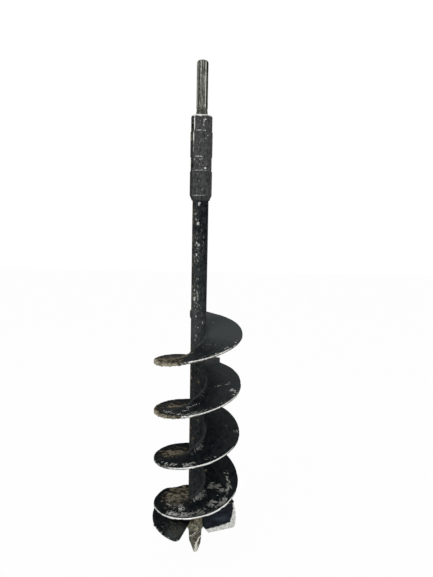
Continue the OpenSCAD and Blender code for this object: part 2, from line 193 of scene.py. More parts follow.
# The studio: the camera's turns down, right and over, the lights' places and sizes, and half the
# floor's width
CAMERA_TURNS = (9.40, -2.16, 0.95)
KEY_PLACE = (-1.0, -1.2, 0.9)
KEY_SIZE = 0.9
FILL_PLACE = (1.3, -0.8, 0.1)
FILL_SIZE = 1.0
FLOOR_HALF = 4.0


def linear(hex_colour):
    """Linear RGB of an sRGB hex colour."""
    srgb = np.array([int(hex_colour[i : i + 2], 16) for i in (1, 3, 5)]) / 255
    return tuple(np.where(srgb <= 0.04045, srgb / 12.92, ((srgb + 0.055) / 1.055) ** 2.4))


def length(name, description, default):
    """A length that a user can change."""
    return FloatProperty(name=name, description=description, default=default, unit="LENGTH", precision=4)


def colour(name, description, default):
    """A colour that a user can change."""
    return FloatVectorProperty(
        name=name, description=description, default=linear(default), subtype="COLOR"
    )


def number(name, description, default):
    """A strength or a lens that a user can change."""
    return FloatProperty(name=name, description=description, default=default)


class AugerSizes(PropertyGroup):
    """Sizes of the worn and welded forms."""

    rim_round: length("Rim round", "Radius worn on the flight's rim", 1.3 * MM)
    nick_depth: length("Nick depth", "Depth of the nicks in the flight's rim", 0.6 * MM)
    crust: length("Crust", "Thickness of the soil caked on the rim", 1.1 * MM)
    plate_wave: length("Plate wave", "Height of the flight's unevenness", 0.35 * MM)
    rim_droop: length("Rim droop", "How far the first turn's rim is bent down at the left", 6.3 * MM)
    droop_fade: length("Droop fade", "How much less each turn after it is bent", 1.1 * MM)
    end_spring: length("End spring", "How far the first turn's end springs up", 9 * MM)
    last_sag: length("Last turn's sag", "How far the front of the last turn is bent down", 5.2 * MM)
    weld_leg: length("Weld leg", "Leg of the fillet welds", 4.2 * MM)
    seam_width: length("Seam width", "Width of the weld between two turns", 6.4 * MM)
    seam_height: length("Seam height", "Height of the weld between two turns", 1.7 * MM)
    ripple_pitch: length("Ripple pitch", "Distance between the ripples of a weld", 2.6 * MM)
    ripple_height: length("Ripple height", "Height of the ripples of a weld", 0.35 * MM)
    blade_length: length("Blade length", "Length of a cutter blade down its slope", 40.8 * MM)
    blade_thickness: length("Blade thickness", "Thickness of a cutter blade", 5 * MM)
    blade_lead: length("Blade lead", "Distance of a cutting edge in front of the axis", 28.3 * MM)
    blade_reach: length("Blade reach", "Distance from the axis to a blade's outer corner", 73.2 * MM)
    blade_corner: length("Blade corner", "Radius of the blade's outer corner", 5 * MM)
    blade_root: length("Blade root", "Weld metal between a blade's inner edge and the boss", 2 * MM)
    blade_bulge: length("Blade bulge", "How far the blade's outer edge bulges", 2.5 * MM)
    blade_bevel: length("Blade bevel", "Width of the bevel behind a cutting edge", 5 * MM)
    blade_land: length("Blade land", "Height of the land at a cutting edge", 1 * MM)
    pilot_width: length("Pilot width", "Width of the pilot's twisted bar", 24.4 * MM)
    pilot_thickness: length("Pilot thickness", "Thickness of the pilot's twisted bar", 9 * MM)


class AugerColours(PropertyGroup):
    """Colours of the finishes."""

    paint: colour("Paint", "Black enamel", "#13171a")
    # Also the colour of painted sheen and highlights on the turns, the tube and the welds
    paint_dull: colour("Dull paint", "Black enamel under a film of dust", "#464a4a")
    rubbed: colour("Rubbed paint", "Enamel rubbed thin over steel", "#60625f")
    coupling: colour("Coupling paint", "Dark enamel on the coupling", "#303132")
    coupling_dull: colour("Dull coupling paint", "Enamel on the coupling, rubbed grey", "#5a5b5a")
    blade: colour("Blade paint", "Blue-black enamel on the blades", "#13171e")
    blade_dull: colour("Dull blade paint", "Enamel on the blades rubbed by soil", "#434a53")
    bare: colour("Bare steel", "Steel scraped bare by the soil", "#dcddda")
    bare_dark: colour("Dark bare steel", "Bare steel gone dull", "#83847f")
    soil: colour("Soil", "Damp soil", "#2f281b")
    soil_pale: colour("Pale soil", "Dried soil", "#a69f8d")
    shank: colour("Shank steel", "Turned steel of the drive shank", "#33332e")
    # Also the colour of the painted highlight lines along the shank
    shank_pale: colour("Pale shank steel", "Shank steel rubbed by the chuck", "#9a9a93")
    pin: colour("Pin steel", "Cross pins black with old oil", "#1b1917")
    grime: colour("Grime", "Old grease in grooves", "#2f2f25")
    pilot: colour("Pilot steel", "Forged steel of the pilot point", "#a3a086")
    pilot_pale: colour("Pale pilot steel", "Edges of the pilot polished by soil", "#d2d0c4")


class AugerStage(PropertyGroup):
    """Studio round the tool."""

    paper: colour("Paper", "White seamless paper", "#f4f4f2")
    ambient: number("Ambient", "Strength of the even light all round", 0.55)
    key_power: number("Key light", "Power of the soft light at the left", 12)
    fill_power: number("Fill light", "Power of the soft light at the right", 4)
    camera_distance: length("Camera distance", "Distance from the camera to the axis", 758.5 * MM)
    camera_level: length("Camera level", "Height of the camera", -148.3 * MM)
    camera_lens: number("Lens", "Focal length on a 36 mm high frame", 28.81)


# Surfaces


def polar(azimuth, r, z):
    """Points at radius r and height z: x is r times the azimuth's sine, y is r times its cosine."""
    a = np.radians(azimuth)
    return np.stack(np.broadcast_arrays(r * np.sin(a), r * np.cos(a), z), axis=-1)


def around(points):
    """Azimuths in degrees, radii and heights of points."""
    x, y, z = np.moveaxis(points, -1, 0)
    return np.degrees(np.arctan2(x, y)) % 360, np.hypot(x, y), z


def smooth(x, start, end):
    """A smooth step: 0 at start, 1 at end, and three squares less two cubes of the share between."""
    t = np.clip((x - start) / (end - start), 0, 1)
    return t * t * (3 - 2 * t)


def waves(x, lengths, seed):
    """An uneven line of unit height at most: the mean of sine waves of these lengths, with drawn
    phases."""
    phase = np.random.default_rng(seed).uniform(0, 2 * np.pi, len(lengths))
    return np.sin(2 * np.pi * x[..., None] / np.array(lengths) + phase).mean(axis=-1)


def bells(x, table):
    """A sum of bell curves: a height times e to the power of less the square of the way from the
    middle, counted in widths."""
    middle, wide, tall = np.array(table, float).T
    return MM * (tall * np.exp(-(((x[..., None] - middle) / wide) ** 2))).sum(axis=-1)


def worn(azimuth, r, place, marks):
    """How worn each point is. A mark is an azimuth, a place, half its length round the axis, half its
    width and its strength, in degrees and millimetres, and it is an upturned bowl: its strength
    times one less the square of the share of the way to its fading edge, half as far again. The
    deepest mark counts."""
    middle, at, half_length, half_width, strength = np.array(marks, float).T
    turn = (azimuth[..., None] - middle + 180) % 360 - 180
    along = np.radians(turn) * r[..., None] / (1.5 * half_length * MM)
    beside = (place[..., None] - at * MM) / (1.5 * half_width * MM)
    return (strength * np.clip(1 - along**2 - beside**2, 0, None)).max(axis=-1)


def skin(name, points, faces, sweep=None, **fields):
    """A mesh of four-cornered faces, turned to face outwards by the sign of its volume: the sum over
    the faces' triangles of one corner times the cross product of the other two."""
    a, b, c, d = (points[faces[:, i]] for i in range(4))
    volume = np.einsum("ij,ij->", a, np.cross(b, c)) + np.einsum("ij,ij->", a, np.cross(c, d))
    if volume < 0:
        faces = faces[:, ::-1]
    mesh = bpy.data.meshes.new(name)
    mesh.vertices.add(len(points))
    mesh.vertices.foreach_set("co", points.ravel())
    mesh.loops.add(faces.size)
    mesh.loops.foreach_set("vertex_index", faces.ravel())
    mesh.polygons.add(len(faces))
    mesh.polygons.foreach_set("loop_start", np.arange(0, faces.size, 4))
    mesh.update(calc_edges=True)
    if sweep is not None:
        chart = mesh.uv_layers.new(name="sweep")
        chart.uv.foreach_set("vector", sweep.reshape(-1, 2)[faces.ravel()].ravel())
    set_fields(mesh, **fields)
    soften(mesh)
    return mesh


def set_fields(mesh, **fields):
    """Stores how worn or soiled each point of a mesh is."""
    for key, values in fields.items():
        stored = mesh.attributes.new(key, "FLOAT", "POINT")
        stored.data.foreach_set("value", np.ascontiguousarray(values, np.float32).ravel())


def soften(mesh, angle=38):
    """Smooth shading, with edges sharper than an angle kept."""
    mesh.shade_smooth()
    mesh.set_sharp_from_angle(angle=math.radians(angle))


def loft(name, rings, round_path=False, sweep=None, **fields):
    """A closed skin through rings[i, j], point j of ring i. Each ring joins the next; a path that isn't
    round is closed at both ends by a strip between the halves of the end ring."""
    rows, count = rings.shape[:2]
    index = np.arange(rows * count).reshape(rows, count)
    near = index if round_path else index[:-1]
    far = np.roll(index, -1, axis=0) if round_path else index[1:]
    corners = [near, np.roll(near, -1, axis=1), np.roll(far, -1, axis=1), far]
    faces = [np.stack(corners, axis=-1).reshape(-1, 4)]
    if not round_path:
        j = np.arange(count // 2 - 1)
        cap = np.stack([j, j + 1, count - 2 - j, count - 1 - j], axis=-1)
        faces += [cap[:, ::-1], cap + (rows - 1) * count]
    return skin(name, rings.reshape(-1, 3), np.concatenate(faces), sweep, **fields)


def finer(profile, step):
    """The corners of a profile with points added between them, at most a step apart."""
    parts = []
    for start, end in zip(profile[:-1], profile[1:]):
        count = max(1, math.ceil(np.linalg.norm(np.subtract(end, start)) / step))
        parts.append(np.linspace(start, end, count, endpoint=False))
    return np.concatenate([*parts, [profile[-1]]])


def lathe(name, profile, step=1.5 * MM, sides=144):
    """A turned solid: a profile of (radius, height) from the axis back to it, or closed on itself,
    carried round the axis. Points on the axis are merged."""
    line = finer(np.array(profile), step)
    azimuths = np.linspace(0, 360, sides, endpoint=False)[:, None]
    mesh = loft(name, polar(azimuths, line[:, 0], line[:, 1]), round_path=True)
    touching = 0.001 * MM
    shape = bmesh.new()
    shape.from_mesh(mesh)
    bmesh.ops.remove_doubles(shape, verts=shape.verts, dist=touching)
    bmesh.ops.dissolve_degenerate(shape, edges=shape.edges, dist=touching)
    bmesh.ops.recalc_face_normals(shape, faces=shape.faces)
    shape.to_mesh(mesh)
    shape.free()
    return mesh


def points_of(mesh):
    """The points of a mesh."""
    flat = np.zeros(len(mesh.vertices) * 3)
    mesh.vertices.foreach_get("co", flat)
    return flat.reshape(-1, 3)


def piece(name, mesh, material, slot, *replaced, body="auger"):
    """An object of a mesh and a material that rides on a body and stands for construction nodes."""
    made = bpy.data.objects.new(name, mesh)
    bpy.context.scene.collection.objects.link(made)
    mesh.materials.clear()
    mesh.materials.append(material)
    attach(made, body)
    if replaced:
        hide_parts(*replaced)
    return made


# Finishes


SOFT = {"interpolation_type": "SMOOTHSTEP"}
TIMES_PLUS = {"operation": "MULTIPLY_ADD"}
COLOURS = {"data_type": "RGBA", "out": 2}


def node(tree, kind, inputs=(), out=0, **settings):
    """Adds a node with its settings, sets or links its inputs, given by place or by name, and returns
    one of its outputs, if it has any."""
    made = tree.nodes.new("ShaderNode" + kind)
    for key, value in settings.items():
        setattr(made, key, value)
    for key, value in inputs.items() if isinstance(inputs, dict) else enumerate(inputs):
        if isinstance(value, bpy.types.NodeSocket):
            tree.links.new(value, made.inputs[key])
        else:
            made.inputs[key].default_value = value
    return made.outputs[out] if made.outputs else None


def new_material(name):
    """An empty node material, and the function that adds a node to it."""
    material = bpy.data.materials.new(name)
    material.use_nodes = True
    material.node_tree.nodes.clear()
    return material, partial(node, material.node_tree)


def rgba(rgb):
    """A colour with full cover."""
    return (*rgb, 1)


def flaked(add, run, chip, ragged):
    """How readily paint leaves each place, about 1: ragged cells of one value each, and noise in them,
    which spread it from 0 to 2 where they count in full."""
    warp = add("TexNoise", {"Vector": run, "Scale": 1 / chip, "Detail": 3, "Roughness": 0.6}, "Color")
    bent = add("VectorMath", (warp, (0.8 * chip,) * 3, run), **TIMES_PLUS)
    cells = add("TexVoronoi", {"Vector": bent, "Scale": 1 / chip}, "Color")
    cell = add("SeparateXYZ", (cells,))
    speck_size = 1.1 * chip
    speck = add("TexNoise", {"Vector": run, "Scale": 1 / speck_size, "Detail": 5, "Roughness": 0.75})
    fine = add("MapRange", (speck, 0.34, 0.66, 1 - ragged, 1 + 0.3 * ragged))
    return add("Math", (cell, 0.7 * ragged, fine), **TIMES_PLUS)


def worn_enamel(
    name,
    paint,
    dull,
    gloss=0.3,
    specular=0.008,
    chip=3.2 * MM,
    swept=False,
    speckle=0.4,
    ragged=1,
    fade=0.03,
):
    """Sprayed enamel on mild steel, scraped by soil: a dark, half-glossy skin with a faint orange peel,
    ragged flakes down to grey steel where the field scrape is high, a pale film where the field dust
    is high, and matt brown soil in patches where the field soil is high, drawn out along the sweep.
    On some pieces these fields also paint light: scrape paints highlight lines, dust paints sheen,
    highlights and light falling off, and soil paints brown reflections.
    Gloss is the enamel's mean roughness, chip the size of a flake, speckle the mottling of the film,
    ragged how uneven the flakes are, and fade how soft their edges are. A swept enamel follows the
    sweep chart of its mesh."""
    tones = bpy.context.scene.auger_colours
    material, add = new_material(name)
    place = add("TexCoord", out="Object")
    scrape, soil, dust = (
        add("Attribute", out="Fac", attribute_name=key) for key in ("scrape", "soil", "dust")
    )
    if swept:
        chart = add("UVMap", uv_map="sweep")
        run = add("Mapping", {"Vector": chart, "Scale": (0.7, 0.7, 1)})
        drawn = add("Mapping", {"Vector": chart, "Scale": (0.3, 1, 1)})
    else:
        run = drawn = add("Mapping", {"Vector": place, "Scale": (1, 1, 0.6)})
    # The grain of scraped steel is 3 mm, enamel and soil are mottled at 4 mm, soil lies in 9 mm clouds,
    # and the gloss changes over 60 mm
    grain = add("TexNoise", {"Vector": run, "Scale": 1 / (3 * MM), "Detail": 4, "Roughness": 0.7})
    grain = add("MapRange", (grain, 0.34, 0.66))
    mottle = add("TexNoise", {"Vector": drawn, "Scale": 1 / (4 * MM), "Detail": 4, "Roughness": 0.7})
    mottle = add("MapRange", (mottle, 0.36, 0.64))
    cloud = add("TexNoise", {"Vector": place, "Scale": 1 / (9 * MM), "Detail": 6, "Roughness": 0.62})
    patch = add("TexNoise", {"Vector": place, "Scale": 1 / (60 * MM), "Detail": 4, "Roughness": 0.5})
    torn = add("Math", (flaked(add, run, chip, ragged), scrape), operation="MULTIPLY")
    bare = add("MapRange", (torn, 0.41 - fade, 0.41 + fade), **SOFT)
    thin = add("MapRange", (torn, 0.28, 0.42, 0, 0.3), **SOFT)
    earth = add("Math", (cloud, 2.4, soil), **TIMES_PLUS)
    earth = add("MapRange", (earth, 1.55, 1.85), **SOFT)
    # The pale film: dust, and where the field says so, painted sheen, highlights and shade
    pale_film_and_light = add("Math", (cloud, 0.7, dust), **TIMES_PLUS)
    pale_film_and_light = add("Math", (mottle, speckle, pale_film_and_light), **TIMES_PLUS)
    pale_film_and_light = add("MapRange", (pale_film_and_light, 0.35 + speckle / 2, 1.35 + speckle / 2))
    coat = add("Mix", {0: pale_film_and_light, 6: rgba(paint), 7: rgba(dull)}, **COLOURS)
    coat = add("Mix", {0: thin, 6: coat, 7: rgba(tones.rubbed)}, **COLOURS)
    shine = add("Math", (grain, 0.6, scrape), **TIMES_PLUS)
    shine = add("MapRange", (shine, 0.6, 1.4))
    steel = add("Mix", {0: shine, 6: rgba(tones.bare_dark), 7: rgba(tones.bare)}, **COLOURS)
    caked = add("MapRange", (cloud, 0.38, 0.66, 0, 0.7))
    caked = add("Math", (soil, caked))
    pale = add("Math", (mottle, 0.6, caked), **TIMES_PLUS)
    pale = add("MapRange", (pale, 1.1, 2))
    mud = add("Mix", {0: pale, 6: rgba(tones.soil), 7: rgba(tones.soil_pale)}, **COLOURS)
    seen = add("Mix", {0: bare, 6: coat, 7: steel}, **COLOURS)
    seen = add("Mix", {0: earth, 6: seen, 7: mud}, **COLOURS)
    sheen = add("MapRange", (patch, 0.3, 0.7, gloss - 0.06, gloss + 0.08), **SOFT)
    rough = add("Mix", {0: bare, 2: sheen, 3: 0.42})
    rough = add("Mix", {0: earth, 2: rough, 3: 0.92})
    height = add("Math", (grain, 0.06, earth), **TIMES_PLUS)
    height = add("Math", (bare, -0.5, height), **TIMES_PLUS)
    surface = {
        "Base Color": seen,
        "Specular IOR Level": add("MapRange", (earth, 0, 1, specular, 0), **SOFT),
        "Roughness": rough,
        "Metallic": add("Math", (bare, earth), operation="SUBTRACT", use_clamp=True),
        "Normal": add("Bump", {"Height": height, "Strength": 0.6, "Distance": 0.25 * MM}),
    }
    add("OutputMaterial", {"Surface": add("BsdfPrincipled", surface)})
    return material


def turned_steel():
    """Turned and hardened tool steel, handled for years: grey metal with 1.8 mm streaks along its
    length, pale in two painted highlight lines along it at fixed azimuths, 4 mm stains, and old grease
    in everything cut below its round and at its foot."""
    tones = bpy.context.scene.auger_colours
    material, add = new_material("turned tool steel")
    place = add("TexCoord", out="Object")
    axes = add("SeparateXYZ", (place,)).node.outputs
    flat = add("CombineXYZ", (axes[0], axes[1]))
    radius = add("VectorMath", (flat,), "Value", operation="LENGTH")
    cut = add("MapRange", (radius, 8.2 * MM, 8.85 * MM, 0.42, 0), **SOFT)
    foot = add("MapRange", (axes[2], 4 * MM, 16 * MM, 0.65, 0), **SOFT)
    long_way = add("Mapping", {"Vector": place, "Scale": (1, 1, 0.07)})
    streaks = {"Vector": long_way, "Scale": 1 / (1.8 * MM), "Detail": 4, "Roughness": 0.65}
    streaks = add("MapRange", (add("TexNoise", streaks), 0.43, 0.66))
    # Painted highlights: two bright lines along the shank at fixed azimuths
    bright = streaks
    for azimuth in SHANK_HIGHLIGHT_LINES:
        edge = tuple(polar(azimuth, SHANK_R, 0.0))
        away = add("VectorMath", (flat, edge), "Value", operation="DISTANCE")
        line = add("MapRange", (away, 0.5 * MM, 1.3 * MM, 1, 0), **SOFT)
        bright = add("Math", (bright, line), operation="MAXIMUM")
    stain = add("TexNoise", {"Vector": place, "Scale": 1 / (4 * MM), "Detail": 5, "Roughness": 0.7})
    stain = add("MapRange", (stain, 0.4, 0.62))
    dirt = add("Math", (stain, 0.9, add("Math", (foot, cut))), **TIMES_PLUS)
    dark = add("MapRange", (dirt, 0.4, 1.5), **SOFT)
    # Pale in the streaks and in the painted highlight lines
    rubbed = add("Mix", {0: bright, 6: rgba(tones.shank), 7: rgba(tones.shank_pale)}, **COLOURS)
    surface = {
        "Base Color": add("Mix", {0: dark, 6: rubbed, 7: rgba(tones.grime)}, **COLOURS),
        "Roughness": add("MapRange", (dirt, 0.2, 1.2, 0.32, 0.7), **SOFT),
        "Metallic": add("MapRange", (dark, 0, 1, 0.9, 0.2), **SOFT),
        "Normal": add("Bump", {"Height": streaks, "Strength": 0.3, "Distance": 0.1 * MM}),
    }
    add("OutputMaterial", {"Surface": add("BsdfPrincipled", surface)})
    return material


def oiled_steel():
    """Steel pins blackened by old oil: dark brown-black with a dull gloss."""
    tones = bpy.context.scene.auger_colours
    material, add = new_material("oiled pin steel")
    surface = {"Base Color": rgba(tones.pin), "Roughness": 0.45, "Specular IOR Level": 0.05}
    add("OutputMaterial", {"Surface": add("BsdfPrincipled", surface)})
    return material


def forged_steel():
    """Forged steel with dried olive mud in its 5 mm hollows: dull grey-brown, khaki where the field
    dust is high, and bright where the field scrape is high: along the faces that cut, and in painted
    highlights on edges, on a winding line and on the crests of the weld's drops."""
    tones = bpy.context.scene.auger_colours
    material, add = new_material("forged steel with mud")
    place = add("TexCoord", out="Object")
    scrape, dust = (add("Attribute", out="Fac", attribute_name=key) for key in ("scrape", "dust"))
    lumps = add("TexNoise", {"Vector": place, "Scale": 1 / (5 * MM), "Detail": 5, "Roughness": 0.66})
    lumps = add("MapRange", (lumps, 0.4, 0.6))
    khaki = add("MapRange", (add("Math", (lumps, dust)), 0.5, 1.5))
    shine = add("Math", (lumps, 0.3, scrape), **TIMES_PLUS)
    shine = add("MapRange", (shine, 0.5, 1), **SOFT)
    dull = add("Mix", {0: khaki, 6: rgba(tones.grime), 7: rgba(tones.pilot)}, **COLOURS)
    surface = {
        "Base Color": add("Mix", {0: shine, 6: dull, 7: rgba(tones.pilot_pale)}, **COLOURS),
        "Roughness": add("MapRange", (shine, 0, 1, 0.66, 0.34), **SOFT),
        "Metallic": add("MapRange", (shine, 0, 1, 0.1, 0.85), **SOFT),
        "Normal": add("Bump", {"Height": lumps, "Strength": 0.7, "Distance": 0.6 * MM}),
    }
    add("OutputMaterial", {"Surface": add("BsdfPrincipled", surface)})
    return material


def shown(add):
    """1 for what is seen, straight on, in a reflection or through glass, and 0 for what only gives
    light."""
    camera = add("LightPath", out="Is Camera Ray")
    rays = camera.node.outputs
    seen = add("Math", (camera, rays["Is Glossy Ray"]))
    return add("Math", (seen, rays["Is Transmission Ray"]), use_clamp=True)


def seamless_paper():
    """White studio paper: matt white that keeps a soft shadow, and reads as white paper to the camera
    and in reflections."""
    stage = bpy.context.scene.auger_stage
    material, add = new_material("seamless paper")
    share = add("Math", (shown(add), 0.97), operation="MULTIPLY")
    matt = add("BsdfPrincipled", {"Base Color": rgba(stage.paper), "Roughness": 0.9})
    white = add("Emission", {"Color": (1, 1, 1, 1), "Strength": 1})
    add("OutputMaterial", {"Surface": add("MixShader", (share, matt, white))})
    return material


# Forms of the tool


def flight_level(a, sag):
    """Height of the flight's middle plane after an angle: an even helix, plus the bend of the last
    turn, which is a straight lift less half a sine wave."""
    late = np.maximum(a - 360 * (TURNS - 1), 0)
    return FLIGHT_TOP - PITCH * a / 360 + LAST_LIFT * late / 360 - sag * np.sin(np.radians(late / 2))


def rim_bend(azimuth, turn, sizes):
    """How far a turn's rim is bent from the helix. The backs of the turns are lifted in bells. The
    upper turns droop at the left, by the square of a sine; the end of the first turn, above the
    start of the second, springs up in a straight slope to a cut edge; and the last turn's back has
    two low humps with a dip between them."""
    bend = bells(azimuth + 360 * turn, RIM_LIFTS)
    if turn == TURNS - 1:
        return bend + bells(azimuth, LAST_HUMPS)
    arch = np.sin(np.radians(np.clip(azimuth - DROOP_START, 0, DROOP_ANGLE) * 180 / DROOP_ANGLE)) ** 2
    bend -= (sizes.rim_droop - turn * sizes.droop_fade) * arch
    if turn == 1:
        rise = np.clip((azimuth - SPRING_START) / (SPRING_END - SPRING_START), 0, None)
        bend += sizes.end_spring * rise * (azimuth <= SPRING_END)
    return bend


def flat_half(r):
    """Half the height of a plate that lies flat, at any radius."""
    return np.full_like(r, PLATE_T / 2)


def tail_reach(azimuth):
    """Radius of the tail's outline: an arc round the axis."""
    return np.full_like(azimuth, WING_R)


def wing_reach(azimuth):
    """Radius of the wing's outline: an arc round the trailing corner, then a rim whose swell falls as a
    power of the share of the way to the leading end."""
    middle = WING_R + WING_SWELL - WING_CORNER
    turn = math.degrees(math.asin(WING_CORNER / middle))
    back = np.radians(np.clip(WING_START + turn - azimuth, 0, turn))
    chord = np.clip(WING_CORNER**2 - (middle * np.sin(back)) ** 2, 0, None)
    corner = middle * np.cos(back) + np.sqrt(chord)
    share = np.clip((azimuth - WING_START - turn) / (WING_ANGLE - turn), 0, 1)
    return corner - WING_SWELL * (1 - (1 - share) ** 1.3)


def nicks(azimuth, seed, count=22):
    """How deep the rim is nicked, from 0 to 1: drawn bell curves 0.6 to 2.2 degrees wide."""
    draw = np.random.default_rng(seed)
    at = draw.uniform(0, 360, count)
    wide = draw.uniform(0.6, 2.2, count)
    deep = draw.uniform(0.2, 1, count)
    return (deep * np.exp(-(((azimuth[:, None] - at) / wide) ** 2))).max(axis=-1)


def plate_rings(azimuth, level, outer_r, rim_round, half, wave, crust=0):
    """A plate round the tube: at each azimuth a section that runs out along the top face, round the
    worn rim and back along the underside. The faces lie half a thickness above and below the level,
    and a crust of soil thickens the outer part."""
    reach = outer_r[:, None]
    turn = np.radians(np.linspace(90, 0, ROUND_POINTS))[1:]
    flat_r = PLATE_IN_R + (reach - rim_round - PLATE_IN_R) * np.linspace(0, 1, FLAT_POINTS)
    round_r = reach - rim_round + rim_round * np.cos(turn)
    r = np.concatenate([flat_r, round_r], axis=1)
    rise = half(r)
    rise[:, FLAT_POINTS:] += rim_round * (np.sin(turn) - 1)
    rise += crust * smooth(r, reach - CRUST_FROM, reach - CRUST_FULL)
    lift = level[:, None] + wave[:, None] * smooth(r, PLATE_IN_R, reach)
    top = polar(azimuth[:, None], r, lift + rise)
    bottom = polar(azimuth[:, None], r, lift - rise)
    return np.concatenate([top, bottom[:, ::-1]], axis=1)


def plate_fields(rings, rim_wear, rim_soil, scrapes, soils, rim_from, dust):
    """Sweep chart, scrape, soil and dust of a plate's points: its marks on the top face, with torn
    outlines, its worn and soiled rim, and soil on the whole underside."""
    azimuth, r, _ = around(rings)
    below = (np.arange(rings.shape[1]) >= rings.shape[1] // 2)[None, :]
    along = np.radians(azimuth) * FLIGHT_R
    tear = 7 * MM * waves(along + 0.7 * r, [9 * MM, 14 * MM, 31 * MM], 56)
    fray = 5 * MM * waves(along - 1.3 * r, [8 * MM, 13 * MM, 29 * MM], 57)
    scrape = worn(azimuth + np.degrees(tear / r), r, r + fray, scrapes) * ~below
    rim_above = smooth(r, rim_from - 0.4 * MM, rim_from + 0.5 * MM)
    rim_below = smooth(r, rim_from + 0.9 * MM, rim_from + 1.25 * MM)
    edge = np.where(below, rim_below, rim_above)
    scrape = np.maximum(scrape * (1 - edge), edge * rim_wear[:, None])
    ragged = MM * (6 + 5 * waves(azimuth[:, :1], [3.7, 8.3, 19], 55))
    crust = smooth(r, rim_from - ragged, rim_from - 0.6 * ragged) * rim_soil[:, None]
    lying = np.where(below, UNDER_SOIL * (1 - edge), worn(azimuth, r, r, soils))
    sweep = np.stack([along, r], axis=-1)
    return {"sweep": sweep, "scrape": scrape, "soil": np.maximum(lying, crust), "dust": dust}


def bead(name, path, side, up, reach, rise, span, sizes, seed, material, *replaced):
    """A weld bead: rings along a path, each an arc from the side direction towards the up direction.
    Its size swells in crescents, one for each ripple, and narrows at open ends."""
    round_path = np.linalg.norm(path[0] - path[-1]) < reach
    if round_path:
        path, side, up = path[:-1], side[:-1], up[:-1]
    step = np.linalg.norm(np.diff(path, axis=0), axis=1)
    run = np.concatenate([[0], np.cumsum(step)])[:, None]
    fillet = span < 180
    turn = np.radians(np.linspace(0, span, 11 if fillet else 12))[None, :]
    uneven = 0.1 * waves(run, [9 * MM, 17 * MM, 33 * MM], seed)
    arc = np.sin(turn * 180 / span)
    crescents = np.cos(2 * np.pi * (run / sizes.ripple_pitch + 0.55 * arc)) * arc
    end = 1 if round_path else np.sqrt(np.clip(np.minimum(run, run[-1] - run) / reach + 0.05, 0, 1))
    full = 0.55 + 0.45 / (np.cos(turn) + np.sin(turn)) if fillet else np.ones_like(turn)
    size = (full * (1 + uneven) + sizes.ripple_height / reach * crescents) * end
    rings = path[:, None] + size[..., None] * (
        reach * np.cos(turn)[..., None] * side[:, None] + rise * np.sin(turn)[..., None] * up[:, None]
    )
    if fillet:
        heel = path - 0.12 * reach * (side + up)
        rings = np.concatenate([rings, heel[:, None]], axis=1)
    worn_top = 0.22 + 0.1 * waves(run + 0 * turn, [21 * MM, 47 * MM], seed + 1)
    scrape = np.zeros(rings.shape[:2])
    scrape[:, : turn.size] = worn_top * arc
    plain = np.ones(rings.shape[:2])
    # The even pale film on every bead paints the soft highlight along the weld, over a little dust
    mesh = loft(name, rings, round_path, scrape=scrape, soil=0.15 * plain, dust=0.75 * plain)
    piece(name, mesh, material, "weld_bead", *replaced)


# Wear seen on the four turns: azimuth, radius, half length along the sweep, half width, strength. At a
# strength of 0.75 the steel lies bare, at 0.6 it shows in ragged flakes, and at 0.3 in flecks
TURN_SCRAPES = (
    (
        (139, 53, 1.2, 7, 0.6), (140, 68, 3, 1.6, 0.66), (132, 70, 3, 1.6, 0.66), (158, 70, 8, 2.4, 0.6),
        (52, 34, 1.4, 1.4, 0.6), (116, 71, 4, 1.6, 0.5), (150, 30, 9, 8, 0.3), (175, 66, 20, 5, 0.32),
    ),
    (
        (103, 36, 3, 2.6, 0.66), (98, 43, 1.8, 3, 0.6), (96, 52, 1.4, 5, 0.6), (112, 64, 3.4, 4.4, 0.66),
        (116, 70, 2.6, 2.6, 0.62), (196, 42, 9, 2.4, 0.62), (184, 40, 7, 2.4, 0.5), (160, 22, 5, 5, 0.4),
        (180, 69, 28, 5, 0.5), (246, 59, 8, 2, 0.66), (234, 56, 4, 2, 0.62), (208, 66, 6, 3, 0.62),
        (201, 54, 4, 2.4, 0.62), (222, 62, 8, 2, 0.5), (150, 72, 30, 2, 0.42), (215, 58, 40, 12, 0.27),
    ),
    (
        (80, 53, 1.4, 1.4, 0.6), (86, 53, 1.3, 1.3, 0.6), (94, 69, 1.8, 1.8, 0.6), (169, 24, 7, 9, 0.56),
        (162, 63, 3.6, 4.5, 0.72), (152, 65, 2.6, 3, 0.72), (191, 65, 8, 6, 0.58),
        (187, 72, 9, 2.4, 0.52), (215, 64, 7, 4, 0.52), (233, 66, 4, 2.6, 0.62), (251, 64, 4, 2.4, 0.6),
        (226, 71, 8, 2.6, 0.52), (200, 66, 50, 9, 0.27), (180, 32, 16, 9, 0.28),
    ),
    (
        (91, 56, 13, 2, 0.68), (101, 67, 1.2, 1.2, 0.6), (109, 61, 14, 2.8, 0.68), (130, 66, 10, 5, 0.54),
        (141, 68, 10, 5, 0.55), (116, 30, 6, 5, 0.74), (113, 42, 5, 4.4, 0.7), (120, 50, 5.4, 4.4, 0.62),
        (166, 24, 10, 8, 0.74), (152, 32, 2.6, 3.6, 0.62), (151, 56, 6, 7, 0.86), (172, 64, 9, 9, 0.58),
        (196, 65, 15, 8, 0.58), (215, 66, 15, 6.5, 0.58), (211, 48, 10, 5, 0.6), (235, 40, 22, 7, 0.44),
        (259, 47, 26, 10, 0.4), (175, 71, 45, 4, 0.42), (200, 56, 55, 16, 0.27),
    ),
)
# Soil seen on the four turns, in the same order
TURN_SOILS = (
    ((265, 58, 45, 20, 0.7), (246, 42, 30, 20, 0.88), (285, 40, 40, 22, 0.75), (224, 60, 22, 12, 0.55)),
    ((289, 38, 22, 14, 1.15), (310, 40, 30, 22, 0.6), (262, 62, 34, 10, 0.42)),
    ((285, 43, 27, 22, 0.92), (315, 45, 30, 22, 0.5), (260, 60, 30, 10, 0.32)),
    ((303, 40, 46, 25, 0.86), (325, 60, 40, 14, 0.7), (272, 60, 38, 14, 0.46), (258, 40, 24, 14, 0.6)),
)
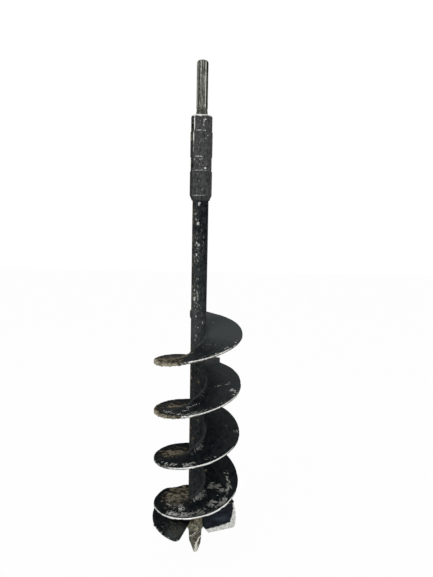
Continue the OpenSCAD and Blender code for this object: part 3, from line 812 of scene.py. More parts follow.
# The pale film on each turn, of dust and of painted light that is brightest on the top turn and paints
# the sheen on the turns' right side, and how much of it is taken off next to the tube, which paints the
# shade of the turn above
TURN_DUST_AND_PAINTED_LIGHT = (1.4, 0.95, 0.45, 0.2)
ROOT_SHADE = (0, 0.55, 0.55, 0.55)
# Azimuths round the rim, and how bare and how soiled each turn's rim is there
RIM_AZIMUTHS = (0, 100, 120, 135, 150, 190, 205, 220, 245, 265, 290, 360)
RIM_BARE = (
    (0.1, 0.1, 0.3, 0.5, 0.75, 0.85, 0.6, 0.4, 0.35, 0.25, 0.1, 0.1),
    (0.1, 0.2, 0.5, 0.85, 0.95, 0.9, 0.6, 0.5, 0.45, 0.3, 0.1, 0.1),
    (0.1, 0.1, 0.3, 0.8, 1.1, 1.1, 0.85, 0.6, 0.32, 0.2, 0.1, 0.1),
    (0.1, 0.15, 0.6, 1, 1.2, 1.2, 1.2, 1.1, 0.8, 0.3, 0.12, 0.1),
)
RIM_SOIL = (
    (0, 0, 0, 0, 0, 0.2, 1, 1.15, 1.2, 1.15, 0.4, 0.2),
    (0, 0, 0, 0, 0, 0.1, 0.8, 0.95, 1, 1, 0.4, 0.2),
    (0, 0, 0, 0, 0, 0, 0.1, 0.3, 0.4, 0.3, 0.2, 0.2),
    (0, 0, 0, 0, 0, 0, 0, 0, 0, 0.1, 0.3, 0.3),
)


class AUGER_OT_flight(Operator):
    """Make the four helical turns, the tail and the second wing"""

    bl_idname = "auger.flight"
    bl_label = "Flight"

    def execute(self, context):
        sizes = context.scene.auger_sizes
        tones = context.scene.auger_colours
        painted = tones.paint, tones.paint_dull
        enamel = worn_enamel(
            "black enamel on plate",
            *painted,
            gloss=0.26,
            specular=0.0015,
            chip=3.4 * MM,
            swept=True,
            speckle=0.25,
        )
        for i in range(TURNS):
            self.helical_turn(i, sizes, enamel)
        tail = TAIL_LEVEL, TURN_GAP / 2, TAIL_ANGLE, tail_reach
        wing = WING_LEVEL, WING_START, WING_ANGLE, wing_reach
        self.flat_plate("tail_plate", "flight_tail", *tail, sizes, enamel)
        self.flat_plate("wing_plate", "balance_wing", *wing, sizes, enamel)
        return {"FINISHED"}

    def helical_turn(self, i, sizes, enamel):
        """One turn of plate along the helix, with a bent and nicked rim. Its pale film, of dust and
        painted light, is thickest at the back, and on the lower turns it is thinner next to the tube,
        which paints the shade of the turn above."""
        azimuth = np.linspace(TURN_GAP / 2, 360 - TURN_GAP / 2, 361)
        azimuth = np.sort(np.append(azimuth, (SPRING_END, SPRING_END + 0.03)))
        a = azimuth + 360 * i
        bite = sizes.nick_depth * nicks(azimuth, 11 + i)
        reach = FLIGHT_R - bite - 0.2 * MM * (1 + waves(a, [23, 61, 140], 20 + i))
        wave = rim_bend(azimuth, i, sizes) + sizes.plate_wave * waves(a, [37, 71, 155], 30 + i)
        level = flight_level(a, sizes.last_sag)
        rim_soil = np.interp(azimuth, RIM_AZIMUTHS, RIM_SOIL[i])
        lumps = np.clip(0.5 + waves(a, [4.1, 7.3, 15], 45 + i), 0, None)
        crust = (sizes.crust * rim_soil * lumps)[:, None]
        rings = plate_rings(azimuth, level, reach, sizes.rim_round, plate_half, wave, crust)
        rim_wear = np.interp(azimuth, RIM_AZIMUTHS, RIM_BARE[i]) + 0.12 * waves(a, [7, 19, 43], 40 + i)
        rim_from = FLIGHT_R - sizes.rim_round
        turned, r, _ = around(rings)
        # Painted light: a paler film on the upper turns and at the back and right, and painted shade next
        # to the tube
        film = TURN_DUST_AND_PAINTED_LIGHT[i] * (1 - 0.87 * smooth(turned, 60, 185))
        film *= 1 - ROOT_SHADE[i] * smooth(r, 58 * MM, 24 * MM)
        fields = plate_fields(rings, rim_wear, rim_soil, TURN_SCRAPES[i], TURN_SOILS[i], rim_from, film)
        mesh = loft(f"turn_{i + 1}_plate", rings, **fields)
        piece(mesh.name, mesh, enamel, "black_paint", f"flight_turn_{i + 1}")

    def flat_plate(self, name, node_name, level, start, angle, outline, sizes, enamel):
        """A flat sector of plate at one level, from a start azimuth, whose outline is a radius at each
        azimuth."""
        azimuth = start + angle * np.linspace(0, 1, 121) ** 1.5
        reach = outline(azimuth) - 0.3 * sizes.nick_depth * nicks(azimuth, 51)
        wave = 0.2 * sizes.plate_wave * waves(azimuth, [17, 41], 52)
        levels = np.full_like(azimuth, level)
        rings = plate_rings(azimuth, levels, reach, sizes.rim_round, flat_half, wave)
        rim_wear = 0.34 + 0.12 * waves(azimuth, [7, 19], 53)
        scrapes = (
            (start + 20, 54, 24, 20, 0.33),
            (start + 8, 72, 10, 6, 0.34),
            (start + 40, 70, 24, 5, 0.31),
        )
        soils = ((start + 20, 52, 14, 16, 0.47), (start + 8, 68, 8, 8, 0.4))
        # The first film is a patch of dust; the second, 50 degrees on from the start, paints a sheen on
        # the plate
        films_and_sheen = ((start + 12, 62, 12, 18, 1.1), (start + 50, 50, 22, 14, 0.2))
        turned, r, _ = around(rings)
        film = 0.1 + worn(turned, r, r, films_and_sheen)
        rim_from = reach[:, None] - sizes.rim_round
        fields = plate_fields(rings, rim_wear, 0 * azimuth, scrapes, soils, rim_from, film)
        mesh = loft(name, rings, **fields)
        piece(name, mesh, enamel, "black_paint", node_name)


class AUGER_OT_welds(Operator):
    """Make the rippled weld beads"""

    bl_idname = "auger.welds"
    bl_label = "Welds"

    def execute(self, context):
        sizes = context.scene.auger_sizes
        tones = context.scene.auger_colours
        enamel = worn_enamel("black enamel on weld", tones.paint, tones.paint_dull, gloss=0.34)
        leg = sizes.weld_leg
        for i in range(TURNS):
            a = np.linspace(360 * i + TURN_GAP / 2, 360 * (i + 1) - TURN_GAP / 2, 481)
            z = flight_level(a, sizes.last_sag) + plate_half(PLATE_IN_R)
            self.ring(f"turn_{i + 1}_bead", a, z, 1, leg, sizes, 60 + i, enamel, f"flight_weld_{i + 1}")
        ends = np.linspace(TURN_GAP, TAIL_ANGLE - TURN_GAP, 121)
        self.ring("tail_bead", ends, TAIL_LEVEL + PLATE_T / 2, 1, leg, sizes, 65, enamel, "tail_weld")
        ends = np.linspace(WING_START, WING_START + WING_ANGLE, 121)
        self.ring("wing_bead", ends, WING_LEVEL + PLATE_T / 2, 1, leg, sizes, 66, enamel, "wing_weld")
        full_turn = np.linspace(0, 360, 361)
        lip = MOUTH_R - TUBE_R
        self.ring("socket_bead", full_turn, MOUTH, -1, lip, sizes, 67, enamel, "socket_weld")
        self.seams(sizes, enamel)
        return {"FINISHED"}

    def ring(self, name, a, z, way, leg, sizes, seed, enamel, node_name):
        """A fillet round the tube, standing on a plate or hanging under the socket."""
        path = polar(a, TUBE_R, z)
        out = polar(a, 1, 0 * a)
        up = np.zeros_like(path) + (0, 0, way)
        bead(name, path, out, up, leg, leg, 90, sizes, seed, enamel, node_name)

    def seams(self, sizes, enamel):
        """Domed beads across the plates where the turns meet, and a tack left on the tube."""
        r = np.linspace(TUBE_R + sizes.weld_leg, FLIGHT_R - SEAM_SHORT, 161)
        slope = PITCH / (2 * np.pi * r)
        across = np.stack([1 / np.hypot(1, slope), 0 * r, -slope / np.hypot(1, slope)], axis=-1)
        up = np.zeros_like(across) + (0, 0, 1)
        half_width = sizes.seam_width / 2
        for i in range(1, TURNS):
            a = np.array(360.0 * i)
            lift = bells(a, RIM_LIFTS) * smooth(r, PLATE_IN_R, FLIGHT_R) - WELD_SINK
            path = polar(0 * r, r, flight_level(a, sizes.last_sag) + plate_half(r) + lift)
            shape = path, across, up, half_width, sizes.seam_height, 180
            bead(f"seam_bead_{i}", *shape, sizes, 70 + i, enamel, "seam_welds")
        z = np.linspace(*TACK_SPAN, 31)
        path = polar(TACK_AZIMUTH, TUBE_R - TACK_SINK, z)
        side = polar(TACK_AZIMUTH - 90, 1, 0 * z)
        out = polar(TACK_AZIMUTH, 1, 0 * z)
        bead("tube_tack", path, side, out, TACK_HALF, TACK_HEIGHT, 180, sizes, 75, enamel)


# Wear seen on the tube and the coupling, with a painted highlight line down the coupling's left front:
# azimuth, height, half length round the axis, half height, strength
TUBE_SCRAPES = (
    (190, -136, 1.6, 3, 0.6), (184, -134, 1.2, 1.2, 0.6), (221, -150, 1.2, 5, 0.5),
    (211, -161, 1.3, 1.8, 0.6), (196, -167, 2.2, 2.4, 0.82), (201, -198, 1.6, 2.4, 0.8),
    (191, -201, 2.6, 1.3, 0.76), (204, -217, 1.2, 1.8, 0.7), (205, -233, 1.1, 1.4, 0.55),
    (184, -241, 1, 1.3, 0.5), (199, -255, 1, 1.6, 0.6), (188, -256, 1, 1.4, 0.6),
    (216, -276, 1.2, 1.8, 0.6), (197, -278, 1.1, 4, 0.55), (214, -290, 2.8, 3.4, 0.62),
    (200, -320, 1.6, 3, 0.5), (188, -287, 0.8, 9, 0.52), (150, -330, 1.2, 2.2, 0.6),
    (184, -338, 1.3, 1.7, 0.6), (197, -351, 1.6, 2, 0.6), (204, -359, 1.1, 1.5, 0.55),
    (206, -150, 8, 30, 0.29), (203, -215, 9, 45, 0.31), (205, -290, 9, 45, 0.31),
    (200, -345, 9, 18, 0.28), (165, -300, 8, 40, 0.27), (165, -200, 8, 60, 0.27),
)
# Heights and the film of dust there, and painted highlight lines on the tube's right side between the
# turns
TUBE_DUST = ((-700, 0.4), (-420, 0.36), (-350, 0.8), (-290, 0.42), (-130, 0.1))
TUBE_HIGHLIGHT_LINES = ((124, -430, 1.6, 22, 1), (120, -515, 1.6, 20, 1), (120, -608, 1.6, 20, 1))
# Soil on the tube; the strips on its left side, at azimuths 222 to 258, also paint a brown reflection of
# the surroundings
TUBE_SOIL_AND_REFLECTION = (
    (258, -250, 6, 200, 0.6), (250, -430, 7, 30, 0.6), (250, -520, 7, 30, 0.58), (246, -600, 7, 26, 0.5),
    (180, -694, 40, 7, 0.9), (222, -430, 12, 30, 0.4), (222, -520, 12, 30, 0.4),
)
# The long thin mark at azimuth 222 is a painted highlight line, where the round coupling reflects light
HEAD_SCRAPES = (
    (158, -8, 2, 1.6, 0.66), (168, -10, 0.9, 3, 0.62), (168, -17, 0.9, 1.4, 0.6),
    (148, -12, 0.8, 1.2, 0.5), (222, -13, 0.9, 11, 1.4), (184, -0.7, 30, 1.4, 1.3),
    (180, -2.6, 5, 1.3, 0.7), (187, -24.9, 13, 0.5, 0.8), (185, -13, 18, 12, 0.27),
)
# The long thin marks at azimuth 225 carry the painted highlight line on down the adapter
ADAPTER_SCRAPES = (
    (225, -33, 0.9, 8, 1.3), (225, -50, 0.9, 12, 0.6), (157, -36, 1.3, 1.2, 0.5),
    (146, -32, 1.1, 1.3, 0.5), (185, -44, 18, 18, 0.26), (195, -63.2, 7, 0.5, 0.8),
    (176, -67, 1, 1.6, 0.62), (186, -67.4, 1, 1, 0.6), (220, -67, 1, 1.1, 0.5),
    (186, -76, 0.8, 2.2, 0.55), (157, -81, 2, 1.4, 0.75), (228, -81, 1.1, 1.1, 0.6),
    (188, -84.9, 15, 0.5, 0.85), (185, -74, 18, 10, 0.28),
)
SOCKET_SCRAPES = (
    (206, -101, 1.2, 1, 0.6), (190, -101, 0.8, 0.8, 0.5), (174, -114, 1.2, 1.2, 0.6),
    (196, -90, 1, 1, 0.5), (152, -112, 1, 1, 0.45), (192, -122.6, 13, 0.5, 0.8),
    (190, -104, 18, 18, 0.27),
)
# A painted reflection: a dark brown strip down the coupling's left side, where its round faces dark
# surroundings
COUPLING_REFLECTION = ((254, -60, 6, 120, 0.5),)


class AUGER_OT_tube(Operator):
    """Make the centre tube"""

    bl_idname = "auger.tube"
    bl_label = "Centre tube"

    def execute(self, context):
        tones = context.scene.auger_colours
        painted = tones.paint, tones.paint_dull
        enamel = worn_enamel("black enamel on tube", *painted, chip=2.1 * MM, speckle=0.6)
        bore = TUBE_R - TUBE_WALL
        outside = [(TUBE_R, TUBE_TOP), (TUBE_R, TUBE_END)]
        inside = [(bore, TUBE_END), (bore, TUBE_TOP)]
        mesh = lathe("tube", [*outside, *inside, outside[0]], step=2 * MM)
        azimuth, r, z = around(points_of(mesh))
        scrape = worn(azimuth, r, z, TUBE_SCRAPES) * (r > TUBE_R - 0.5 * MM)
        level, film = np.array(TUBE_DUST).T
        # Painted light: the film grows paler towards the left of the tube and darker towards its right
        dust = np.interp(z / MM, level, film) + 0.22 * np.cos(np.radians(azimuth - 250))
        # Painted highlights: pale lines where the tube's right edge catches light beside the plates
        dust += 0.5 * worn(azimuth, r, z, TUBE_HIGHLIGHT_LINES)
        set_fields(mesh, scrape=scrape, soil=worn(azimuth, r, z, TUBE_SOIL_AND_REFLECTION), dust=dust)
        soften(mesh)
        piece("tube", mesh, enamel, "black_paint", "centre_tube")
        return {"FINISHED"}


class AUGER_OT_coupling(Operator):
    """Make the three sections of the coupling, drilled for the cross pins"""

    bl_idname = "auger.coupling"
    bl_label = "Coupling"

    def execute(self, context):
        tones = context.scene.auger_colours
        painted = tones.coupling, tones.coupling_dull
        enamel = worn_enamel(
            "rubbed enamel on coupling",
            *painted,
            gloss=0.36,
            specular=0.002,
            chip=2.4 * MM,
            speckle=0.9,
        )
        chamfer = HEAD_CHAMFER
        seam = SEAM_CHAMFER
        top = UPPER_SEAM + SOCKET_DEPTH
        head = [
            (ROOT_R, 0),
            (HEAD_R - chamfer, 0),
            (HEAD_R - 0.5 * chamfer, -0.3 * chamfer),
            (HEAD_R - 0.15 * chamfer, -0.65 * chamfer),
            (HEAD_R, -1.15 * chamfer),
            (HEAD_R, UPPER_SEAM + seam),
            (HEAD_R - seam, UPPER_SEAM),
            (SPIGOT_R + FIT, UPPER_SEAM),
            (SPIGOT_R + FIT, top),
            (ROOT_R, top),
            (ROOT_R, 0),
        ]
        self.section("coupling_head", head, HEAD_SCRAPES, enamel, "shank_head", PIN_LEVELS[:1])
        bottom = LOWER_SEAM + SOCKET_DEPTH
        adapter = [
            (0, bottom),
            (SPIGOT_R + FIT, bottom),
            (SPIGOT_R + FIT, LOWER_SEAM),
            (HEAD_R - seam, LOWER_SEAM),
            (HEAD_R, LOWER_SEAM + seam),
            (HEAD_R, COLLAR_STEP),
            (COLLAR_R - seam, COLLAR_STEP),
            (COLLAR_R, COLLAR_STEP + seam),
            (COLLAR_R, UPPER_SEAM - seam),
            (COLLAR_R - seam, UPPER_SEAM),
            (SPIGOT_R, UPPER_SEAM),
            (SPIGOT_R, UPPER_SEAM + SPIGOT_LEN),
            (ROOT_R, UPPER_SEAM + SPIGOT_LEN),
            (ROOT_R, ROOT_END - SEAT_GAP),
            (0, ROOT_END - SEAT_GAP),
        ]
        self.section("coupling_middle", adapter, ADAPTER_SCRAPES, enamel, "coupling_adapter", PIN_LEVELS)
        socket = [
            (0, TUBE_TOP + SEAT_GAP),
            (TUBE_R + FIT, TUBE_TOP + SEAT_GAP),
            (TUBE_R + FIT, MOUTH),
            (MOUTH_R, MOUTH),
            (SOCKET_R, MOUTH + MOUTH_TAPER),
            (SOCKET_R, LOWER_SEAM - seam),
            (SOCKET_R - seam, LOWER_SEAM),
            (SPIGOT_R, LOWER_SEAM),
            (SPIGOT_R, LOWER_SEAM + SPIGOT_LEN),
            (0, LOWER_SEAM + SPIGOT_LEN),
        ]
        self.section("coupling_socket", socket, SOCKET_SCRAPES, enamel, "tube_socket", PIN_LEVELS[1:])
        return {"FINISHED"}

    def section(self, name, profile, scrapes, enamel, node_name, pin_levels):
        """A turned section with its pin holes cut through."""
        made = piece(name, lathe(name, profile), enamel, "black_paint", node_name)
        drills = [self.drill(level) for level in pin_levels]
        for drill in drills:
            cut = made.modifiers.new("pin hole", "BOOLEAN")
            cut.object = drill
            cut.solver = "EXACT"
        shaped = made.evaluated_get(bpy.context.evaluated_depsgraph_get())
        mesh = bpy.data.meshes.new_from_object(shaped)
        made.modifiers.clear()
        made.data = mesh
        mesh.name = name
        for drill in drills:
            bpy.data.objects.remove(drill)
        azimuth, r, z = around(points_of(mesh))
        outside = smooth(r, SPIGOT_R, SPIGOT_R + 1.5 * MM)
        across = 1.2 * np.abs(r * np.sin(np.radians(azimuth - PIN_AZIMUTH)))
        hole = np.min([np.hypot(z - level, across) for level in PIN_LEVELS], axis=0)
        grease = 0.7 * (1 - smooth(hole, PIN_R, PIN_R + 3 * MM))
        # Grease round the pin holes, and the painted brown reflection down the left side
        soil = np.maximum(worn(azimuth, r, z, COUPLING_REFLECTION), grease)
        # No film on the left strip past azimuth 236, so that it stays dark as painted reflection
        dust = (0.5 - 0.12 * (z < LOWER_SEAM)) * (1 - smooth(azimuth, 224, 236))
        set_fields(mesh, scrape=worn(azimuth, r, z, scrapes) * outside, soil=soil, dust=dust)
        soften(mesh, 30)

    def drill(self, level):
        """A cutter along the cross pins' line: circles in the plane across that line, joined end to
        end."""
        turn = np.linspace(0, 2 * np.pi, 48, endpoint=False)[:, None]
        along = polar(PIN_AZIMUTH, 1, 0.0)
        across = polar(PIN_AZIMUTH + 90, 1, 0.0)
        up = np.array((0, 0, 1))
        circle = PIN_R * (np.cos(turn) * across + np.sin(turn) * up)
        ends = np.array((-1, 1))[:, None, None] * 2 * HEAD_R * along
        made = bpy.data.objects.new("drill", loft("drill", ends + circle + level * up))
        bpy.context.scene.collection.objects.link(made)
        return made


class AUGER_OT_shank(Operator):
    """Give the drive shank and the cross pins their steel"""

    bl_idname = "auger.shank"
    bl_label = "Drive shank and pins"

    def execute(self, context):
        turned = turned_steel()
        oiled = oiled_steel()
        finishes = {
            "drive_shank": (turned, "bare_steel"),
            "upper_lock_pin": (oiled, "worn_steel"),
            "lower_lock_pin": (oiled, "worn_steel"),
        }
        for name, (steel, slot) in finishes.items():
            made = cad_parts[name]
            made.data.materials.clear()
            made.data.materials.append(steel)
        return {"FINISHED"}


class AUGER_OT_blades(Operator):
    """Make the two cutter blades and their welds"""

    bl_idname = "auger.blades"
    bl_label = "Cutter blades"

    def execute(self, context):
        sizes = context.scene.auger_sizes
        tones = context.scene.auger_colours
        painted = tones.blade, tones.blade_dull
        enamel = worn_enamel(
            "blue-black enamel on blade",
            *painted,
            specular=0.005,
            chip=3 * MM,
            swept=True,
            speckle=0.5,
            ragged=0.45,
            fade=0.14,
        )
        weld = worn_enamel("black enamel on blade weld", tones.paint, tones.paint_dull, gloss=0.4)
        self.blade("main", TAIL_LEVEL, 0, 1, sizes, enamel, weld)
        self.blade("balance", WING_LEVEL, 180, 0, sizes, enamel, weld)
        return {"FINISHED"}

    def blade(self, name, level, turn, wear, sizes, enamel, weld):
        """A sloping plate: sections along the slope, from the cutting edge to the rear. Each runs from
        the inner edge to the outer edge on top and back below, with rounded edges, and the top falls
        to the land in a bevel behind the cutting edge."""
        back, inner, outer = self.outline(sizes)
        bevel = np.clip(back / sizes.blade_bevel, 0, 1)
        thick = sizes.blade_land + (sizes.blade_thickness - sizes.blade_land) * bevel
        share = np.concatenate([[0, 0.012], np.linspace(0.03, 0.97, 46), [0.988, 1]])
        edge_round = 0.8 * MM * np.array([1, 0.3] + [0] * 46 + [0.3, 1])
        edge_round = np.minimum(edge_round, 0.4 * thick)
        u = inner + (outer - inner) * share
        v = np.broadcast_to(back, u.shape)
        dent = 0.25 * MM * waves(u, [19 * MM, 43 * MM], 80) * smooth(v, 8 * MM, 20 * MM)
        upper = np.stack([u, v, thick - sizes.blade_thickness - edge_round + dent], axis=-1)
        lower = np.stack([u, v, edge_round - sizes.blade_thickness], axis=-1)
        rings = np.concatenate([upper, lower[:, ::-1]], axis=1)
        rough = waves(v + 2 * u, [9 * MM, 23 * MM], 81)
        fields = self.marks(v / MM, (outer - u) / MM, rough, wear)
        placed = self.under_plate(rings, level, turn, sizes)
        mesh = loft(f"{name}_cutter", placed, sweep=rings[..., :2], **fields)
        piece(mesh.name, mesh, enamel, "blade_steel", f"{name}_blade")
        self.rear_bead(name, level, turn, sizes, weld)

    def rear_reach(self, sizes):
        """How far out the rear edge of a blade runs, to the rim of its plate."""
        rear_y = sizes.blade_length * math.cos(BLADE_SLOPE) - sizes.blade_lead
        return math.sqrt(WING_R**2 - rear_y**2) - SEAT_GAP

    def outline(self, sizes):
        """Distances behind the cutting edge, and the inner and outer edge there: a bent line, and a
        straight line with a parabola's bulge and an arc for a corner."""
        corner = sizes.blade_corner
        arc = corner * (1 - np.cos(np.radians(np.linspace(0, 90, 15))))
        back = np.concatenate([arc, np.linspace(corner, sizes.blade_length, 40)[1:]])[:, None]
        toe = BLADE_TOE / math.cos(BLADE_SLOPE)
        waist = BLADE_WAIST / math.cos(BLADE_SLOPE)
        waist_u = (BLADE_ROOT + BLADE_HEEL) / 2 - SEAT_GAP
        knees = [BLADE_ROOT, BLADE_ROOT - BLADE_TOE / 2, waist_u, BLADE_HEEL]
        inner = np.interp(back, [0, toe, waist, sizes.blade_length], knees)
        inner -= sizes.blade_root * smooth(back, 0.2 * BLADE_TOE, BLADE_TOE)
        front_u = math.sqrt(sizes.blade_reach**2 - sizes.blade_lead**2)
        straight = front_u + (self.rear_reach(sizes) - front_u) * back / sizes.blade_length
        drop = np.clip(1 - back / corner, 0, 1)
        share = np.clip((back - corner) / (sizes.blade_length - corner), 0, 1)
        bulge = sizes.blade_bulge * 4 * share * (1 - share)
        outer = straight - corner * (1 - np.sqrt(1 - drop**2)) + bulge
        return back, inner, outer

    def marks(self, ahead, beside, rough, wear):
        """Scrape, soil and dust of a blade's top and underside, from the distances in millimetres to
        its cutting edge and its outer edge. A worn blade has a bare band along both edges, thin
        paint beside it and a haze across its middle; one that is not worn has soil and dust at its
        corner."""
        side = 2.5 + rough + 12 * np.clip(1 - ahead / 40, 0, 1) ** 1.4
        front = 5 + rough + 9 * np.exp(-beside / 13)
        beside_band = 1 - smooth(beside, 0.93 * side, 1.06 * side)
        front_band = 1 - smooth(ahead, 0.9 * front, 1.1 * front)
        band = wear * np.maximum(beside_band, front_band)
        apron = wear * (1 - smooth(np.minimum(beside - side, ahead - front), 0, 7))
        haze = wear * np.exp(-(((ahead - 14 - 0.12 * beside) / 4) ** 2) - ((beside - 28) / 13) ** 2)
        tip = 0.3 * np.exp(-(((ahead - 6) / 9) ** 2) - ((beside - 38) / 16) ** 2)
        tops_and_unders = {
            "scrape": (np.max([0.8 * band, 0.26 * haze, 0.3 * apron], axis=0), 0.1),
            "soil": ((0.25 + tip) * (1 - wear), 0.6),
            "dust": (wear * (0.34 + 0.9 * haze) + (1 - wear) * (0.2 + 2 * tip), 0),
        }
        return {
            key: np.concatenate([top, np.full_like(top, under)], axis=1)
            for key, (top, under) in tops_and_unders.items()
        }

    def rear_bead(self, name, level, turn, sizes, weld):
        """The fillet behind a blade's rear edge, under its plate."""
        run = np.linspace(BLADE_ROOT, self.rear_reach(sizes) - sizes.weld_leg, 121)
        behind = sizes.blade_length + 0.2 * MM
        path = np.stack([run, 0 * run + behind, 0 * run - 0.3 * sizes.blade_thickness], axis=-1)
        corner = self.under_plate(path, level, turn, sizes)
        back = (0, math.cos(BLADE_SLOPE), -math.sin(BLADE_SLOPE))
        side = self.under_plate(path + back, level, turn, sizes) - corner
        down = self.under_plate(path + (0, 0, -1), level, turn, sizes) - corner
        reach = sizes.blade_thickness * math.sin(BLADE_SLOPE) + 0.7 * sizes.weld_leg
        rise = 0.6 * sizes.blade_thickness * math.cos(BLADE_SLOPE)
        shape = corner, side, down, reach, rise, 90
        bead(f"{name}_cutter_bead", *shape, sizes, 85, weld, f"{name}_blade_weld")

    def under_plate(self, points, level, turn, sizes):
        """Carries points from a blade's own plane to the underside of a plate: tilts them by the slope
        about the cutting edge, moves them in front of the axis and down, and turns them round the
        axis."""
        drop = sizes.blade_length * math.sin(BLADE_SLOPE) + SEAT_GAP
        move = Matrix.Rotation(math.radians(turn + BLADE_TURN), 4, "Z")
        move = move @ Matrix.Translation((0, -sizes.blade_lead, level - PLATE_T / 2 - drop))
        move = np.array(move @ Matrix.Rotation(BLADE_SLOPE, 4, "X"))
        return points @ move[:3, :3].T + move[:3, 3]


# The pilot's painted highlight line, where the edge of the twisted bar catches light: heights in
# millimetres above the tip, and its azimuths there
PILOT_HIGHLIGHT_LINE = ((5, 355), (14, 338), (22, 318), (29, 292), (37, 232), (45, 191), (51, 167), (60, 158))


class AUGER_OT_pilot(Operator):
    """Make the twisted pilot point and the weld round its boss"""

    bl_idname = "auger.pilot"
    bl_label = "Pilot point"

    def execute(self, context):
        sizes = context.scene.auger_sizes
        steel = forged_steel()
        self.bar(sizes, steel)
        self.collar(steel)
        return {"FINISHED"}

    def bar(self, sizes, steel):
        """A plug and a boss that turn into a twisted flat bar: rings that go from a circle to a flat
        lens. Its half width falls as a power of one less the square of the share of its length, to a
        blunt tip."""
        plug_r = TUBE_R - TUBE_WALL - FIT
        start = TUBE_END - PILOT_BOSS + MM
        share = np.concatenate([np.linspace(0, 0.9, 90), np.linspace(0.9, 1, 24)[1:]])
        tip_width = PILOT_TIP_WIDTH * np.sqrt(np.clip(1.02 - share, 0, 1) / 0.1)
        half_width = sizes.pilot_width / 2
        width = np.maximum(half_width * (1 - share**2) ** 0.46, tip_width * (share > 0.9))
        width = np.minimum(width, half_width)
        thick = np.minimum(sizes.pilot_thickness / 2 * (1 - 0.6 * share), width)
        flatter = smooth(share, -0.02, 0.36)
        plug_z = [TUBE_END + PILOT_PLUG, TUBE_END, TUBE_END, start + MM]
        plug = [plug_r, plug_r, TUBE_R, TUBE_R]
        z = np.concatenate([plug_z, start + share * (PILOT_TIP - start)])[:, None]
        wide = np.concatenate([plug, TUBE_R + (width - TUBE_R) * flatter])[:, None]
        deep = np.concatenate([plug, TUBE_R + (thick - TUBE_R) * flatter])[:, None]
        flat = np.concatenate([np.zeros(4), flatter])[:, None]
        twist = np.concatenate([np.zeros(4), 1 - (1 - share) ** 1.6])[:, None]
        turn = np.linspace(0, 2 * np.pi, 72, endpoint=False)[None, :]
        power = 1 - 0.55 * flat
        lumps = 1 + 0.03 * flat * waves(z + 8 * MM * turn, [9 * MM, 14 * MM, 23 * MM], 90)
        along = wide * lumps * np.sign(np.cos(turn)) * np.abs(np.cos(turn)) ** power
        across = deep * lumps * np.sign(np.sin(turn)) * np.abs(np.sin(turn)) ** power
        a = PILOT_AZIMUTH + PILOT_TWIST * twist
        rings = polar(a, along, z) + polar(a + 90, across, 0 * z)
        mesh = loft("pilot_bar", rings, **self.bar_marks(rings, turn, flat))
        piece("pilot_bar", mesh, steel, "bare_steel", "pilot_point")

    def bar_marks(self, rings, turn, flat):
        """Scrape and dust of the bar: painted highlights along its edges, a polished face at the tip, a
        painted highlight line that winds up from the tip with a second one beside it, and mud at the
        upper left and the tip.
        Heights are in millimetres above the tip."""
        azimuth, r, z = around(rings)
        height = (z - PILOT_TIP) / MM
        # Painted highlights along the bar's edges
        edge = np.abs(np.sin(2 * turn)) ** 6 * flat
        facing = np.clip(-0.8 * np.cos(turn) - 0.6 * np.sin(turn), 0, 1) * (np.sin(turn) < 0)
        polish = facing * smooth(height, 24, 16) * smooth(height, 0, 4)
        # Painted highlight: a pale line winding up the bar, with a second beside it
        level, winding = np.array(PILOT_HIGHLIGHT_LINE).T
        off = (azimuth - np.interp(height, level, winding) + 90) % 180 - 90
        off = np.radians(off) * r / MM
        beside = 0.7 * np.exp(-(((off + 4) / 0.9) ** 2)) * smooth(height, 34, 40)
        ridge = (np.exp(-((off / 0.95) ** 2)) + beside) * smooth(height, 63, 60)
        scrape = np.clip(0.3 * edge + 0.4 * polish + ridge + 0.25 * smooth(height, 14, 2), 0, 1)
        left = smooth(azimuth, 178, 205) * smooth(height, 30, 38)
        dust = (0.36 * left + 0.03) * flat + 0.35 * smooth(height, 22, 8)
        return {"scrape": scrape, "dust": dust}

    def collar(self, steel):
        """The weld round the boss: a half-lens section carried round the tube, in overlapping drops."""
        azimuth = np.linspace(0, 360, 181)[:-1, None]
        turn = np.radians(np.linspace(-90, 90, 24))[None, :]
        drops = 0.16 * np.cos(np.radians(azimuth * BEAD_DROPS) + 1.8 * np.cos(turn))
        drops = 1 + drops + 0.45 * waves(azimuth + 9 * turn, [41, 23, 67, 14], 91)
        r = TUBE_R - WELD_SINK + BEAD_RISE * np.cos(turn) * drops
        uneven = 1 + 0.08 * waves(azimuth, [180, 90, 40], 92)
        z = TUBE_END - BEAD_DROP + BEAD_HALF * np.sin(turn) * uneven
        rings = polar(azimuth, r, z)
        # Painted highlights: the crests of the drops are paler and brighter, over the even film of dried
        # mud
        crest = 0.5 * np.clip(drops - 0.95, 0, None)
        mesh = loft("pilot_collar", rings, round_path=True, scrape=1.6 * crest, dust=0.48 + crest)
        piece("pilot_collar", mesh, steel, "weld_bead", "pilot_weld")


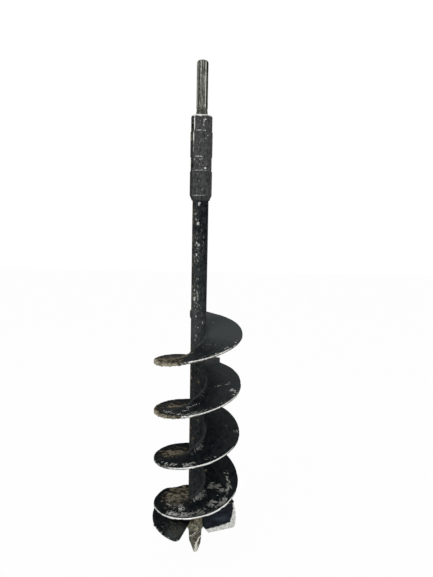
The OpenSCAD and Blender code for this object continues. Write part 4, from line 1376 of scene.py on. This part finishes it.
class AUGER_OT_stage(Operator):
    """Make the paper floor, the lights and the camera"""

    bl_idname = "auger.stage"
    bl_label = "Studio"

    def execute(self, context):
        stage = context.scene.auger_stage
        context.scene.view_settings.view_transform = "Standard"
        self.floor()
        self.sky(context.scene, stage)
        self.lamp("key_light", KEY_PLACE, KEY_SIZE, stage.key_power)
        self.lamp("fill_light", FILL_PLACE, FILL_SIZE, stage.fill_power)
        self.camera(context.scene, stage)
        return {"FINISHED"}

    def floor(self):
        """A square sheet of paper under the tip."""
        corners = FLOOR_HALF * np.array([(-1, -1), (1, -1), (1, 1), (-1, 1)])
        points = np.column_stack([corners, np.full(4, CAD_BOX[0].z)])
        mesh = bpy.data.meshes.new("paper_floor")
        mesh.from_pydata(points.tolist(), [], [(0, 1, 2, 3)])
        mesh.materials.append(seamless_paper())
        made = bpy.data.objects.new("paper_floor", mesh)
        bpy.context.scene.collection.objects.link(made)

    def sky(self, scene, stage):
        """An even white room: full white to the camera and in reflections, and softer as light."""
        world = bpy.data.worlds.new("white room")
        world.use_nodes = True
        world.node_tree.nodes.clear()
        add = partial(node, world.node_tree)
        light = add("Background", {"Color": (1, 1, 1, 1), "Strength": stage.ambient})
        white = add("Background", {"Color": (1, 1, 1, 1), "Strength": 1})
        add("OutputWorld", {"Surface": add("MixShader", (shown(add), light, white))})
        scene.world = world

    def lamp(self, name, place, size, power):
        """A square soft light that faces the middle of the tool."""
        light = bpy.data.lights.new(name, "AREA")
        light.size = size
        light.energy = power
        made = bpy.data.objects.new(name, light)
        bpy.context.scene.collection.objects.link(made)
        target = (CAD_BOX[0] + CAD_BOX[1]) / 2
        made.location = place
        made.rotation_euler = (target - Vector(place)).to_track_quat("-Z", "Y").to_euler()

    def camera(self, scene, stage):
        """A camera in front of the tool that looks down a little, turned slightly right and tilted."""
        pitch, yaw, roll = np.radians(CAMERA_TURNS)
        ahead = np.array([0, math.cos(pitch), -math.sin(pitch)])
        above = np.array([0, math.sin(pitch), math.cos(pitch)])
        right = math.cos(yaw) * np.array([1, 0, 0]) + math.sin(yaw) * ahead
        look = -math.sin(yaw) * np.array([1, 0, 0]) + math.cos(yaw) * ahead
        x_axis = math.cos(roll) * right + math.sin(roll) * above
        y_axis = -math.sin(roll) * right + math.cos(roll) * above
        lens = bpy.data.cameras.new("camera")
        lens.sensor_fit = "VERTICAL"
        lens.sensor_height = 36
        lens.lens = stage.camera_lens
        made = bpy.data.objects.new("camera", lens)
        scene.collection.objects.link(made)
        turned = Matrix(np.column_stack([x_axis, y_axis, -look]).tolist()).to_4x4()
        made.matrix_world = Matrix.Translation((0, -stage.camera_distance, stage.camera_level)) @ turned
        scene.camera = made


OPERATORS = (
    AUGER_OT_stage,
    AUGER_OT_flight,
    AUGER_OT_welds,
    AUGER_OT_tube,
    AUGER_OT_coupling,
    AUGER_OT_shank,
    AUGER_OT_blades,
    AUGER_OT_pilot,
)


class AUGER_PT_panel(Panel):
    """Lists the pieces and their sizes"""

    bl_idname = "AUGER_PT_panel"
    bl_label = "Earth auger"
    bl_space_type = "VIEW_3D"
    bl_region_type = "UI"
    bl_category = "Auger"

    def draw(self, context):
        for made in OPERATORS:
            self.layout.operator(made.bl_idname)
        for group in (context.scene.auger_sizes, context.scene.auger_colours, context.scene.auger_stage):
            for key in group.__annotations__:
                self.layout.prop(group, key)


CLASSES = (AugerSizes, AugerColours, AugerStage, *OPERATORS, AUGER_PT_panel)


def register():
    for made in CLASSES:
        bpy.utils.register_class(made)
    bpy.types.Scene.auger_sizes = PointerProperty(type=AugerSizes)
    bpy.types.Scene.auger_colours = PointerProperty(type=AugerColours)
    bpy.types.Scene.auger_stage = PointerProperty(type=AugerStage)


def unregister():
    del bpy.types.Scene.auger_stage
    del bpy.types.Scene.auger_colours
    del bpy.types.Scene.auger_sizes
    for made in reversed(CLASSES):
        bpy.utils.unregister_class(made)


def main():
    """Makes every piece in order."""
    register()
    bpy.ops.auger.stage()
    bpy.ops.auger.flight()
    bpy.ops.auger.welds()
    bpy.ops.auger.tube()
    bpy.ops.auger.coupling()
    bpy.ops.auger.shank()
    bpy.ops.auger.blades()
    bpy.ops.auger.pilot()


if __name__ == "__main__":
    main()
